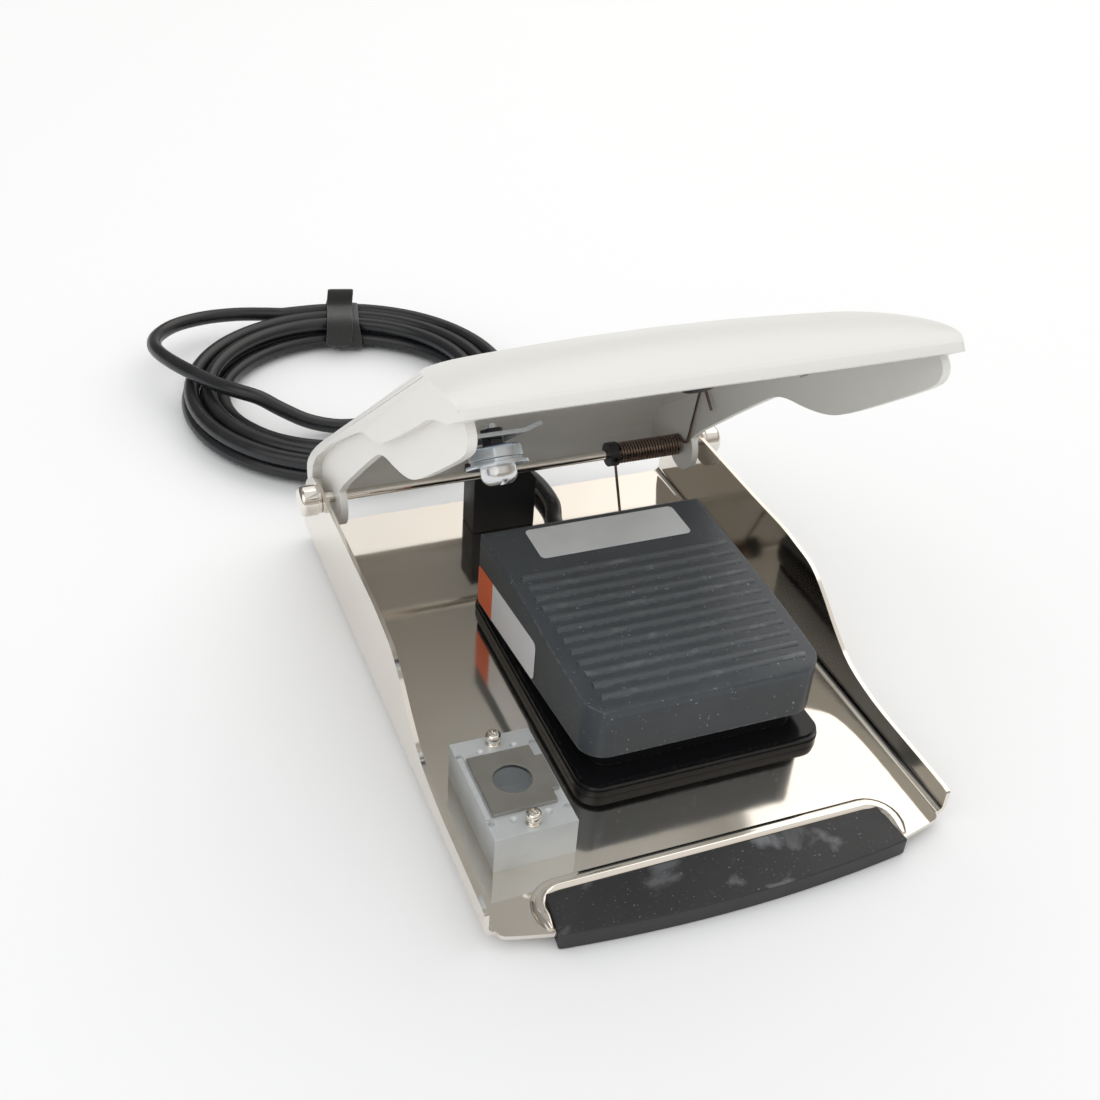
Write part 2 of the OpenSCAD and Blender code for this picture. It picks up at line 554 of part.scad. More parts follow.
// ---------- foot switch ----------
sole_t = 2.4;
core_w = pedal_w - 16;
screw_in = 6;
fix_head = 5.6;
fix_head_h = 2.1;
rim_t = 2.4;
core_h = 9;
sole_z = plate_z + sole_t;
rim_z = sole_z + rim_t;
core_z = sole_z + core_h;
pedal_y0 = -38.5 - 2.5 - pedal_l;
pedal_y1 = pedal_y0 + pedal_l;
pin_y = pedal_y1 - 7;
pin_z = plate_z + 9;
pin_d = 4;
slope = atan((pedal_rear_h - pedal_front_h) / (pedal_l - 11));
taper = atan((pedal_w - pedal_front_w) / 2 / pedal_l);
skirt_front = plate_z + 12.5;
skirt_rear = plate_z + 5.8;
plunger_y = pin_y - 30;
spring_y = pedal_y0 + 24;
snap_h = 15.9;
// where the cord leaves the switch
exit_x = switch_x + 1.4;
exit_z = plate_z + 7.4;
module switch_sole() color([0.06, 0.06, 0.07]) placed() difference() {
  translate([switch_x, switch_y, plate_z]) linear_extrude(sole_t) round_rect(switch_w, switch_l, 8);
  for (b = switch_bolts) translate([b[0], b[1], plate_z - 1]) cylinder(d = bolt_d + bolt_play, h = 8);
}
module switch_base() color([0.05, 0.05, 0.06]) placed() difference() {
  union() {
    translate([switch_x, switch_y, sole_z]) linear_extrude(rim_t - 0.8)
      round_rect(switch_w - 0.8, switch_l - 0.8, 7.6);
    translate([switch_x, switch_y, sole_z]) linear_extrude(rim_t)
      round_rect(switch_w - 3, switch_l - 3, 6.5);
    translate([switch_x, (pedal_y0 + pedal_y1) / 2, sole_z])
      linear_extrude(core_h) round_rect(core_w, pedal_l - 2 * pedal_wall - 3, 6);
    // the rear wall that the cord's strain relief sits in
    translate([switch_x - 9, -38.5 - 2.2, sole_z]) cube([18, 2.2, core_h + 1]);
  }
  translate([switch_x, plunger_y, core_z]) cube([11, 28.4, 2 * core_h - 2 * rim_t], center = true);
  translate([switch_x, spring_y, core_z - 4]) cylinder(d = 13.4, h = 10);
  translate([switch_x, pin_y, pin_z]) x_pin(pin_d / 2, core_w + 8);
  for (b = switch_bolts) translate([b[0], b[1], sole_z - 1]) cylinder(d = bolt_d, h = screw_in + 2);
  translate([exit_x, -38.5 - 6.5, exit_z]) rotate([-90, 0, 0]) cylinder(d = cord_d + 0.1, h = 10);
}
module switch_screws() color([0.75, 0.75, 0.74]) placed() for (b = switch_bolts)
  translate([b[0], b[1], floor_gap]) rotate([180, 0, 0]) difference() {
    pan_screw(fix_head, fix_head_h, bolt_d, sheet_t + sole_t + screw_in);
    translate([0, 0, fix_head_h]) cube([0.6 * fix_head, 0.8, 1.6], center = true);
  }
pedal_side = concat([[pedal_y0, skirt_front]], smooth([[pedal_y0, plate_z + pedal_front_h - 3.2],
    [pedal_y0 + 0.9, plate_z + pedal_front_h - 0.9], [pedal_y0 + 3.2, plate_z + pedal_front_h]], 3),
  smooth([[pedal_y1 - 11, plate_z + pedal_rear_h], [pedal_y1 - 5, plate_z + pedal_rear_h - 0.9],
    [pedal_y1 - 1.4, plate_z + pedal_rear_h - 4.2], [pedal_y1, plate_z + pedal_rear_h - 9]], 3),
  [[pedal_y1, skirt_rear]]);
// the pedal's plan, inset by t: wider at the rear, with round corners
module pedal_plan(t, r) translate([switch_x, (pedal_y0 + pedal_y1) / 2]) {
  a = pedal_w / 2 - t;
  b = pedal_front_w / 2 - t;
  c = pedal_l / 2 - t;
  polygon([[a - r, c], [a, c - r], [b, r - c], [b - r, -c], [r - b, -c], [-b, r - c], [-a, c - r],
    [r - a, c]]);
  for (s = [-1, 1]) {
    translate([s * (a - r), c - r]) circle(r);
    translate([s * (b - r), r - c]) circle(r);
  }
}
// one rounded long edge, and everything inwards of it
module shoulder(s) translate([switch_x + s * pedal_w / 2, pedal_y1, 0]) rotate([0, 0, -s * taper])
  along_y(-1.2 * pedal_l, 0.2 * pedal_l) polygon(concat([[0, 0]], [for (a = [0 : 15 : 90])
    [s * (3 * cos(a) - 3), plate_z + pedal_rear_h - 3.6 + 3 * sin(a)]],
    [[-s * 1.2 * pedal_w, plate_z + pedal_rear_h - 0.6], [-s * 1.2 * pedal_w, 0]]));
module switch_pedal() color([0.22, 0.24, 0.26]) placed() difference() {
  union() {
    difference() {
      intersection() {
        linear_extrude(60) pedal_plan(0, 9);
        translate([switch_x, 0, 0]) along_x(pedal_w) polygon(pedal_side);
        shoulder(-1);
        shoulder(1);
      }
      intersection() {
        translate([0, 0, -1]) linear_extrude(60) pedal_plan(pedal_wall, 7);
        translate([switch_x, 0, -pedal_wall - 1]) along_x(pedal_w)
          polygon(concat([[pedal_y0, -10]], pedal_side, [[pedal_y1, -10]]));
      }
    }
    // cross ribs, round bars sunk into the top, wider towards the rear
    for (i = [0 : rib_n - 1]) let (y = pedal_y0 + rib_from + i * rib_pitch)
      translate([switch_x + 0.8, y, pedal_top(y) + rib_h - rib_r])
        x_pin(rib_r, pedal_front_w - 11 + 0.56 * i);
    // the boss over the snap switch
    translate([switch_x, plunger_y, plunger_top + 0.3]) cylinder(d = 3, h = plate_z + 34 - plunger_top);
    // the two bosses that turn on the pin
    for (s = [-1, 1]) translate([switch_x + s * (core_w / 2 + pedal_w / 2 - pedal_wall) / 2, pin_y, pin_z])
      x_pin(3.8, pedal_w / 2 - pedal_wall - core_w / 2 - 0.8);
  }
  translate([switch_x, pin_y, pin_z]) x_pin(pin_d / 2 + run_gap, pedal_w - 2.4);
}
function pedal_top(y) = plate_z + pedal_front_h + (y - pedal_y0 - 3.2) * tan(slope);
rib_from = 7.4;
rib_r = 2;
rib_h = 0.8;
module pedal_pin() color([0.75, 0.75, 0.77]) placed()
  translate([switch_x, pin_y, pin_z]) x_pin(pin_d / 2, pedal_w - 3);
pedal_turns = 6;
pedal_spring_z0 = core_z - 4;
pedal_spring_z1 = pedal_top(spring_y) - pedal_wall - 1.5;
pedal_coil = [for (i = [0 : 8 * pedal_turns]) let (a = i * 45)
  [switch_x + 5.4 * cos(a), spring_y + 5.4 * sin(a),
    pedal_spring_z0 + 0.7 + i * (pedal_spring_z1 - pedal_spring_z0 - 1.4) / (8 * pedal_turns)]];
module pedal_spring() color([0.6, 0.6, 0.62]) placed() tube(pedal_coil, 0.6, 6);
snap_z0 = core_z - core_h + rim_t;
snap_z1 = snap_z0 + snap_h;
plunger_top = snap_z1 + 1.8;
module snap_switch() color([0.12, 0.12, 0.13]) placed() difference() {
  translate([switch_x - 5.15, plunger_y - 13.9, snap_z0]) cube([10.3, 27.8, snap_h]);
  translate([switch_x, plunger_y, snap_z1 - 4]) cylinder(d = 3 + 2 * run_gap, h = 5);
}
module switch_plunger() color([0.75, 0.2, 0.15]) placed()
  translate([switch_x, plunger_y, plunger_top - 3.4]) cylinder(d = 3, h = 3.4);

// ---------- cord ----------
relief_l = 16;
module strain_relief() color([0.06, 0.06, 0.07]) placed()
  translate([exit_x, -38.5, exit_z]) rotate([-90, 0, 0]) difference() {
    union() {
      cylinder(d = 12.4, h = 2.2);
      translate([0, 0, 2.2]) cylinder(r1 = 5.4, r2 = 4.3, h = relief_l - 2.2);
      for (i = [0 : 3]) translate([0, 0, 4 + i * 3]) cylinder(r = 5.3 - i * 0.25, h = 1.4);
    }
    translate([0, 0, -1]) cylinder(d = cord_d + 0.1, h = relief_l + 2);
  }

// the coil lies behind the control: its loops spiral in on the upper layer
// and out again on the lower one, which lies on the tie
loop_x = -36;
loop_y = 130;
loop_r1 = 78;
loop_r0 = 57;
loops = 5.35;
tie_t = 1.2;
loop_z0 = cord_d / 2 + tie_t + 0.1;
layer = 7.4;
loop_a0 = 90;
steps = round(24 * loops);
// the step down takes the half turn in the middle
function fall(t) = min(1, max(0, (t - 0.5) * loops / 0.5 + 0.5));
function ease(s) = s * s * (3 - 2 * s);
function loop_pt(i) = let (t = i / steps, a = loop_a0 - 360 * loops * t,
  r = loop_r1 - (loop_r1 - loop_r0) * (1 - abs(2 * t - 1)))
  [loop_x + r * cos(a), loop_y + r * sin(a), loop_z0 + layer * (1 - ease(fall(t)))];
loop_path = [for (i = [0 : steps]) loop_pt(i)];
a_end = loop_a0 - 360 * loops;
in_dir = [sin(loop_a0), -cos(loop_a0), 0];
out_dir = [sin(a_end), -cos(a_end), 0];
coil_in = loop_pt(0) - cord_d * in_dir;
coil_out = loop_pt(steps) + cord_d * out_dir;
coil_path = concat([coil_in], loop_path, [coil_out]);
// from the switch, over the plate, to the floor and along to the coil
lead_points = [[exit_x, -40.5, exit_z], [exit_x, -30, exit_z], [exit_x, -22, exit_z],
  [exit_x + 1, -12, 11], [17, -2, 9], [21, 10, 8.6], [21.5, 22, 8.6], [20, 33, 8.4],
  [17.5, 44, 6.6], [15.8, 55.5, 4.8], [16.4, 65, 4.7]];
lead_path = concat(smooth(lead_points, 3), [coil_out + cord_d * out_dir, coil_out]);
// from the plug down inside the loops, over them on the left, and round to
// the start of the coil
tail_points = [[-4.7, 91.9, 21], [-13.4, 94.8, 16], [-22.9, 97.8, 10], [-34.3, 101.3, 5.4],
  [-47.3, 103.9, 4.6], [-60.4, 107.4, 7.4], [-71.7, 111.3, 13], [-80.4, 115.2, 18], [-88.2, 120.4, 19.6],
  [-96.9, 130, 19.6], [-104.7, 142.2, 19.6], [-112.6, 157, 19.4], [-116.9, 171.8, 18],
  [-116.9, 183.9, 16.4], [-112.6, 195.2, 15], [-103, 205.7, 13.8], [-88.2, 212.2, 12.8],
  [-72.5, 213.1, 12.4], [-58.6, 210.5, 12.2]];
plug_at = [2.3, 89.8, loop_z0 + layer + cord_d / 2 + boot_d / 2];
plug_dir = unit([0.953, -0.303, 0]);
tail_path = concat([plug_at, plug_at - cord_d * plug_dir], smooth(tail_points, 3),
  [coil_in - cord_d * in_dir, coil_in]);
module cord_lead() color([0.17, 0.17, 0.19]) placed() tube(lead_path, cord_d / 2, 8);
module cord_coil() color([0.17, 0.17, 0.19]) placed() tube(coil_path, cord_d / 2, 6);
module cord_tail() color([0.17, 0.17, 0.19]) placed() tube(tail_path, cord_d / 2, 8);

// hook-and-loop tie round the loops, with its end folded up on top
tie_a = 77;
tie_w = 18;
tie_r0 = loop_r0 - cord_d / 2 - 0.5;
tie_r1 = loop_r1 + cord_d / 2 + 0.5;
tie_h = 2 * tie_t + layer + cord_d + 0.4;
module cord_tie() color([0.10, 0.10, 0.11]) placed() translate([loop_x, loop_y, 0]) rotate([0, 0, tie_a]) {
  along_y(-tie_w / 2, tie_w / 2) difference() {
    translate([tie_r0 - tie_t, 0]) tie_ring(tie_r1 - tie_r0 + 2 * tie_t, tie_h, 3);
    translate([tie_r0, tie_t]) tie_ring(tie_r1 - tie_r0, tie_h - 2 * tie_t, 1.8);
  }
  along_y(-tie_w / 2 + 2, tie_w / 2 - 2) translate([tie_r1 - 9, tie_h - 0.2])
    tie_ring(3.4, 8.5, 1.6);
}
module tie_ring(w, h, r) translate([w / 2, h / 2]) round_rect(w, h, r);

// phone plug: moulded boot, sleeve and tip, lying across the loops
module plug_pose() placed() translate(plug_at) rotate([0, 0, atan2(plug_dir[1], plug_dir[0])])
  rotate([0, 90, 0]) children();
module plug_boot() color([0.08, 0.08, 0.09]) plug_pose() difference() {
  rotate_extrude() polygon([[0, 0], [cord_d / 2 + 0.8, 0], [cord_d / 2 + 1.4, 3], [boot_d / 2 - 0.8, 9],
    [boot_d / 2, 12], [boot_d / 2, boot_l - 1], [boot_d / 2 - 1, boot_l], [0, boot_l]]);
  translate([0, 0, boot_l - 4]) cylinder(d = 4.6, h = 6);
}
module plug_sleeve() color([0.8, 0.78, 0.72]) plug_pose() translate([0, 0, boot_l]) difference() {
  union() {
    cylinder(d = sleeve_d, h = sleeve_l);
    translate([0, 0, -4]) cylinder(d = 4.6, h = 5);
  }
  translate([0, 0, sleeve_l - 6]) cylinder(d = 2.6, h = 12);
}
module plug_tip() color([0.8, 0.78, 0.72]) plug_pose() translate([0, 0, boot_l + sleeve_l]) union() {
  translate([0, 0, -6]) cylinder(d = 2.6, h = 7);
  rotate_extrude() polygon([[0, 0], [2.7, 0], [2.7, 1.2], [2.2, 2.6], [2.2, 3.6], [2.9, 4.8], [1, tip_l],
    [0, tip_l]]);
}

// least gap of each wound tube to itself, and the cord's whole length
echo(spring_gap = least_gap(spring_path, wire_d, 6), coil_gap = least_gap(loop_path, cord_d, 12));
echo(cord_length = length_of(lead_path) + length_of(coil_path) + length_of(tail_path));

base_plate();
front_pad();
rear_feet();
pivot_rod();
rod_caps();
treadle();
treadle_spring();
spring_collar();
presser_pad();
striker_bracket();
striker_screw();
striker_washers();
striker_puck();
striker_nut();
catch_body();
catch_cover();
catch_screws();
catch_nuts();
rear_stop();
switch_sole();
switch_base();
switch_screws();
switch_pedal();
pedal_pin();
pedal_spring();
snap_switch();
switch_plunger();
strain_relief();
cord_lead();
cord_coil();
cord_tie();
cord_tail();
plug_boot();
plug_sleeve();
plug_tip();
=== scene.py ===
# %% [markdown]
# # Treadle foot control
# A cast treadle is held open by a spring over a small electric foot switch.
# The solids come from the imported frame. This script adds the cord, the
# springs, the tie, the labels, and a finish for every piece.

# %% Load the frame
import math

import bmesh
import bpy
from mathutils import Matrix, Vector
from mathutils.bvhtree import BVHTree


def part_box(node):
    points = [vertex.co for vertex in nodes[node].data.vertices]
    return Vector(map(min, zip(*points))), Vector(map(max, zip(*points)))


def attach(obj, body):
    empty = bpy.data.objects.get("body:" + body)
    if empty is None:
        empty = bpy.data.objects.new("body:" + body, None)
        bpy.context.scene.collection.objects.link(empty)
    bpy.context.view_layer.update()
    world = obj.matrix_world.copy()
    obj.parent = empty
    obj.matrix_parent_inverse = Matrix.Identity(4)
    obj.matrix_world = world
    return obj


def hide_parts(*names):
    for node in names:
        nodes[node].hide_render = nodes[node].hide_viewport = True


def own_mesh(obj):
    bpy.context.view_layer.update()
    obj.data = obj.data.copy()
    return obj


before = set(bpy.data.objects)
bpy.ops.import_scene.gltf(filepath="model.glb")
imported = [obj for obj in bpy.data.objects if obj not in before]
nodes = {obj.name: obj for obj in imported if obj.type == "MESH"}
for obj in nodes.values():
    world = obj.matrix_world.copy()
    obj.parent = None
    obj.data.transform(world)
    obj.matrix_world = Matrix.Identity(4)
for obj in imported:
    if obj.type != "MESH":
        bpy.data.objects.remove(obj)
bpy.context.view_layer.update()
MM = 0.001
SHIFT_Y = 88.25  # from the frame's origin back to the hinge axis
HINGE_Z = 36.4
PLATE_Z = 5.0  # top of the plate
BASE_WIDTH = 162.5
print("nodes loaded:", len(nodes))


# %% [markdown]
# Sizes below are in millimetres, while Blender and the frame use metres.
# Four small helpers are shared by the cells that follow: one links a new
# object, one makes a mesh piece, one is an S-curve, and one turns a point
# in millimetres into a place in the frame.

# %% Shared helpers
def placed(name, data):
    """A new object for that mesh, curve, lamp or camera, linked to the scene."""
    piece = bpy.data.objects.new(name, data)
    bpy.context.scene.collection.objects.link(piece)
    return piece


def mesh_piece(name, points, faces, material):
    """A new object from points in metres and faces, with one material."""
    mesh = bpy.data.meshes.new(name)
    mesh.from_pydata(points, [], faces)
    mesh.materials.append(material)
    return placed(name, mesh)


def fade(value, low, high):
    """0 below low, 1 above high, and an S-curve between them."""
    s = min(1.0, max(0.0, (value - low) / (high - low)))
    return s * s * (3 - 2 * s)


def in_frame(x, y, z):
    """A place in the frame, from mm: y from the hinge axis, z from the floor."""
    return Vector((x * MM, (y + SHIFT_Y) * MM, z * MM))


# %% [markdown]
# The camera stands to the left in front of the control and looks down on it.
# Its place, turn and roll are numbers, so a rotation matrix built from three
# directions is simpler and more exact than a tracking constraint.

# %% Camera
def look(azimuth, elevation, roll):
    """Rotation of a camera at that azimuth, elevation and roll, in degrees."""
    a, e, r = (math.radians(v) for v in (azimuth, elevation, roll))
    forward = Vector((-math.sin(a) * math.cos(e), math.cos(a) * math.cos(e), -math.sin(e)))
    right = forward.cross(Vector((0, 0, 1))).normalized()
    up = right.cross(forward)
    x = math.cos(r) * right + math.sin(r) * up
    y = -math.sin(r) * right + math.cos(r) * up
    return Matrix((x, y, -forward)).transposed()


CAMERA_AT = Vector((-182.7, -355.35, 334.6))  # mm
camera = placed("camera", bpy.data.cameras.new("camera"))
camera.data.lens = 45.85
camera.data.sensor_width = 36.0
camera.data.clip_start, camera.data.clip_end = 0.02, 20.0
camera.matrix_world = Matrix.Translation(CAMERA_AT * MM) @ look(-24.23, 35.1, 4.52).to_4x4()
bpy.context.scene.camera = camera
bpy.context.scene.view_settings.view_transform = "Standard"
print("camera distance to the origin, m:", round(camera.location.length, 3))


# %% [markdown]
# The cord leaves the switch at the rear, drops from the plate to the floor
# and runs into a coil of about five loops, tied once. Its last stretch
# climbs over the loops and ends in the plug inside them. A cord is one
# length, so it is one open curve with a round bevel. The points repeat the
# route of the solids.

# %% The cord's route
CORD_D = 6.8
LOOP_MID = Vector((-36, 130, 0))
LOOP_R0, LOOP_R1, LOOPS, LOOP_A0 = 57.0, 78.0, 5.35, 90.0
LOOP_Z0, LAYER = 4.7, 7.4
COIL_STEPS = 420
LEAD = ((14.4, -40.5, 12.4), (14.4, -30, 12.4), (14.4, -22, 12.4), (15.4, -12, 11), (17, -2, 9),
        (21, 10, 8.6), (21.5, 22, 8.6), (20, 33, 8.4), (17.5, 44, 6.6), (15.8, 55.5, 4.8),
        (16.4, 65, 4.7))
PLUG_AT = Vector((2.3, 89.8, 22))
PLUG_WAY = Vector((0.953, -0.303, 0)).normalized()
TAIL = ((-4.7, 91.9, 21), (-13.4, 94.8, 16), (-22.9, 97.8, 10), (-34.3, 101.3, 5.4),
        (-47.3, 103.9, 4.6), (-60.4, 107.4, 7.4), (-71.7, 111.3, 13), (-80.4, 115.2, 18),
        (-88.2, 120.4, 19.6), (-96.9, 130, 19.6), (-104.7, 142.2, 19.6), (-112.6, 157, 19.4),
        (-116.9, 171.8, 18), (-116.9, 183.9, 16.4), (-112.6, 195.2, 15), (-103, 205.7, 13.8),
        (-88.2, 212.2, 12.8), (-72.5, 213.1, 12.4), (-58.6, 210.5, 12.2))


def smooth(points, steps):
    """Points on a Catmull-Rom curve through the given ones."""
    points = [Vector(p) for p in points]
    out = []
    for i in range(len(points) - 1):
        a, b = points[max(i - 1, 0)], points[i]
        c, d = points[i + 1], points[min(i + 2, len(points) - 1)]
        for k in range(steps):
            t = k / steps
            out.append(0.5 * (2 * b + (c - a) * t + (2 * a - 5 * b + 4 * c - d) * t * t
                              + (3 * b - a - 3 * c + d) * t ** 3))
    return out + [points[-1]]


def loop_point(t):
    """A point of the coil, t running from 0 at the tail to 1 at the lead."""
    a = math.radians(LOOP_A0 - 360 * LOOPS * t)
    r = LOOP_R1 - (LOOP_R1 - LOOP_R0) * (1 - abs(2 * t - 1))
    step = 0.25 / LOOPS  # the climb from one layer to the next takes half a loop
    z = LOOP_Z0 + LAYER * (1 - fade(t, 0.5 - step, 0.5 + step))
    return LOOP_MID + Vector((r * math.cos(a), r * math.sin(a), z))


def heading(angle):
    """The way in which the coil runs at that angle."""
    a = math.radians(angle)
    return Vector((math.sin(a), -math.cos(a), 0))


coil = [loop_point(i / COIL_STEPS) for i in range(COIL_STEPS + 1)]
coil_in = coil[0] - CORD_D * heading(LOOP_A0)
out_way = heading(LOOP_A0 - 360 * LOOPS)
coil_out = coil[-1] + CORD_D * out_way
route = smooth([*LEAD, coil_out + CORD_D * out_way], 7) + coil[::-1]
route += smooth([coil_in - CORD_D * heading(LOOP_A0), *TAIL[::-1]], 6)
route += [PLUG_AT - CORD_D * PLUG_WAY, PLUG_AT]
print("route points:", len(route))


# %% [markdown]
# Several finishes share the same effects, so each effect is a shader node
# group with named sockets, built once: worn edges, a fine grain, soft
# blotches, dust that lies on upward faces, and fine brushed lines.

# %% Node helpers
def new_group(name, inputs, outputs):
    """An empty node group with its sockets, and its input and output nodes."""
    group = bpy.data.node_groups.new(name, "ShaderNodeTree")
    for label, kind, value in inputs:
        socket = group.interface.new_socket(label, in_out="INPUT", socket_type=kind)
        if value is not None:
            socket.default_value = value
    for label, kind in outputs:
        group.interface.new_socket(label, in_out="OUTPUT", socket_type=kind)
    return group, group.nodes.new("NodeGroupInput"), group.nodes.new("NodeGroupOutput")


def add(tree, kind, links=None, **values):
    """A node with its values set, and its inputs linked, by socket name or number."""
    node = tree.nodes.new(kind)
    for key, value in values.items():
        setattr(node, key, value)
    for key, value in (links or {}).items():
        if isinstance(value, bpy.types.NodeSocket):
            tree.links.new(value, node.inputs[key])
        else:
            node.inputs[key].default_value = value
    return node


def maths(tree, operation, a, b, clamp=False):
    """The output of a Math node."""
    node = add(tree, "ShaderNodeMath", {0: a, 1: b}, operation=operation)
    node.use_clamp = clamp
    return node.outputs[0]


def span(tree, value, low, high, to_low=0.0, to_high=1.0):
    """value mapped from low..high onto to_low..to_high, clamped."""
    node = add(tree, "ShaderNodeMapRange", {"Value": value, "From Min": low,
               "From Max": high, "To Min": to_low, "To Max": to_high})
    return node.outputs["Result"]


def noise(tree, scale, detail=3.0, vector=None, distortion=0.0):
    """The output of a Noise node, on object coordinates unless a vector is given."""
    links = {"Scale": scale, "Detail": detail, "Distortion": distortion}
    links["Vector"] = vector or tree.nodes.new("ShaderNodeTexCoord").outputs["Object"]
    return add(tree, "ShaderNodeTexNoise", links).outputs["Fac"]


# %% Worn edges
edge_wear, start, end = new_group(
    "edge_wear",
    [("Reach", "NodeSocketFloat", 0.0006), ("Scale", "NodeSocketFloat", 300.0),
     ("Breakup", "NodeSocketFloat", 0.5)],
    [("Mask", "NodeSocketFloat")])
round_normal = add(edge_wear, "ShaderNodeBevel", {"Radius": start.outputs["Reach"]}, samples=4)
flat_normal = edge_wear.nodes.new("ShaderNodeNewGeometry")
match = add(edge_wear, "ShaderNodeVectorMath",
            {0: round_normal.outputs[0], 1: flat_normal.outputs["Normal"]},
            operation="DOT_PRODUCT")
bend = span(edge_wear, match.outputs["Value"], 0.99, 0.85)
patch = span(edge_wear, noise(edge_wear, start.outputs["Scale"]), start.outputs["Breakup"], 0.75)
edge_wear.links.new(maths(edge_wear, "MULTIPLY", bend, patch, True), end.inputs["Mask"])

# %% Fine grain
fine_grain, start, end = new_group(
    "fine_grain",
    [("Scale", "NodeSocketFloat", 2000.0), ("Detail", "NodeSocketFloat", 2.0)],
    [("Height", "NodeSocketFloat")])
fine_grain.links.new(noise(fine_grain, start.outputs["Scale"], start.outputs["Detail"]),
                     end.inputs["Height"])

# %% Blotches
blotches, start, end = new_group(
    "blotches",
    [("Scale", "NodeSocketFloat", 40.0), ("Low", "NodeSocketFloat", 0.45),
     ("High", "NodeSocketFloat", 0.65)],
    [("Mask", "NodeSocketFloat")])
cloud = noise(blotches, start.outputs["Scale"], 5.0, distortion=0.6)
blotches.links.new(span(blotches, cloud, start.outputs["Low"], start.outputs["High"]),
                   end.inputs["Mask"])

# %% Dust on upward faces
dust, start, end = new_group(
    "dust",
    [("Scale", "NodeSocketFloat", 60.0), ("Specks", "NodeSocketFloat", 900.0)],
    [("Mask", "NodeSocketFloat")])
facing = add(dust, "ShaderNodeSeparateXYZ",
             {0: dust.nodes.new("ShaderNodeNewGeometry").outputs["Normal"]}).outputs["Z"]
upward = span(dust, facing, 0.3, 0.95)
film = span(dust, noise(dust, start.outputs["Scale"], 6.0, distortion=1.0), 0.56, 0.66)
dots = span(dust, noise(dust, start.outputs["Specks"], 1.0), 0.70, 0.78)
both = maths(dust, "ADD", film, dots, True)
dust.links.new(maths(dust, "MULTIPLY", both, upward, True), end.inputs["Mask"])

# %% Brushed lines
brushed, start, end = new_group(
    "brushed",
    [("Stretch", "NodeSocketVector", (1.0, 60.0, 60.0)), ("Scale", "NodeSocketFloat", 60.0)],
    [("Height", "NodeSocketFloat")])
place = brushed.nodes.new("ShaderNodeTexCoord").outputs["Object"]
pulled = add(brushed, "ShaderNodeVectorMath", {0: place, 1: start.outputs["Stretch"]},
             operation="MULTIPLY").outputs[0]
brushed.links.new(noise(brushed, start.outputs["Scale"], 3.0, pulled), end.inputs["Height"])
print("node groups:", [g.name for g in bpy.data.node_groups])


# %% [markdown]
# Every finish starts from the same few steps: a Principled shader, a base
# colour that shifts a little over the surface, a roughness that shifts with
# it, worn edges, and a fine relief through a Bump node. The helper builds
# that, and each finish gives its own numbers.

# %% A finish
def place_group(tree, group, **values):
    node = tree.nodes.new("ShaderNodeGroup")
    node.node_tree = group
    for key, value in values.items():
        node.inputs[key].default_value = value
    return node


def mix_colour(tree, mask, a, b):
    node = tree.nodes.new("ShaderNodeMix")
    node.data_type = "RGBA"
    for socket, value in ((0, mask), (6, a), (7, b)):
        if isinstance(value, bpy.types.NodeSocket):
            tree.links.new(value, node.inputs[socket])
        else:
            node.inputs[socket].default_value = value
    return node.outputs[2]


def rgb(*values):
    return (*values, 1.0)


RIB_TOP_Y, RIB_TOP_Z, RIB_SLOPE = 0.00825, 0.04035, 0.045  # the pedal's top, m


def rib_wear_and_highlight_mask(tree):
    """1 on the pedal's ribs and 0 between them, from the height over its sloping top."""
    place = add(tree, "ShaderNodeSeparateXYZ",
                {0: tree.nodes.new("ShaderNodeTexCoord").outputs["Object"]})
    back = maths(tree, "SUBTRACT", place.outputs["Y"], RIB_TOP_Y)
    slope = maths(tree, "MULTIPLY", back, RIB_SLOPE)
    above = maths(tree, "SUBTRACT", place.outputs["Z"], RIB_TOP_Z)
    height = maths(tree, "SUBTRACT", above, slope)
    return span(tree, height, 0.00015, 0.0006)


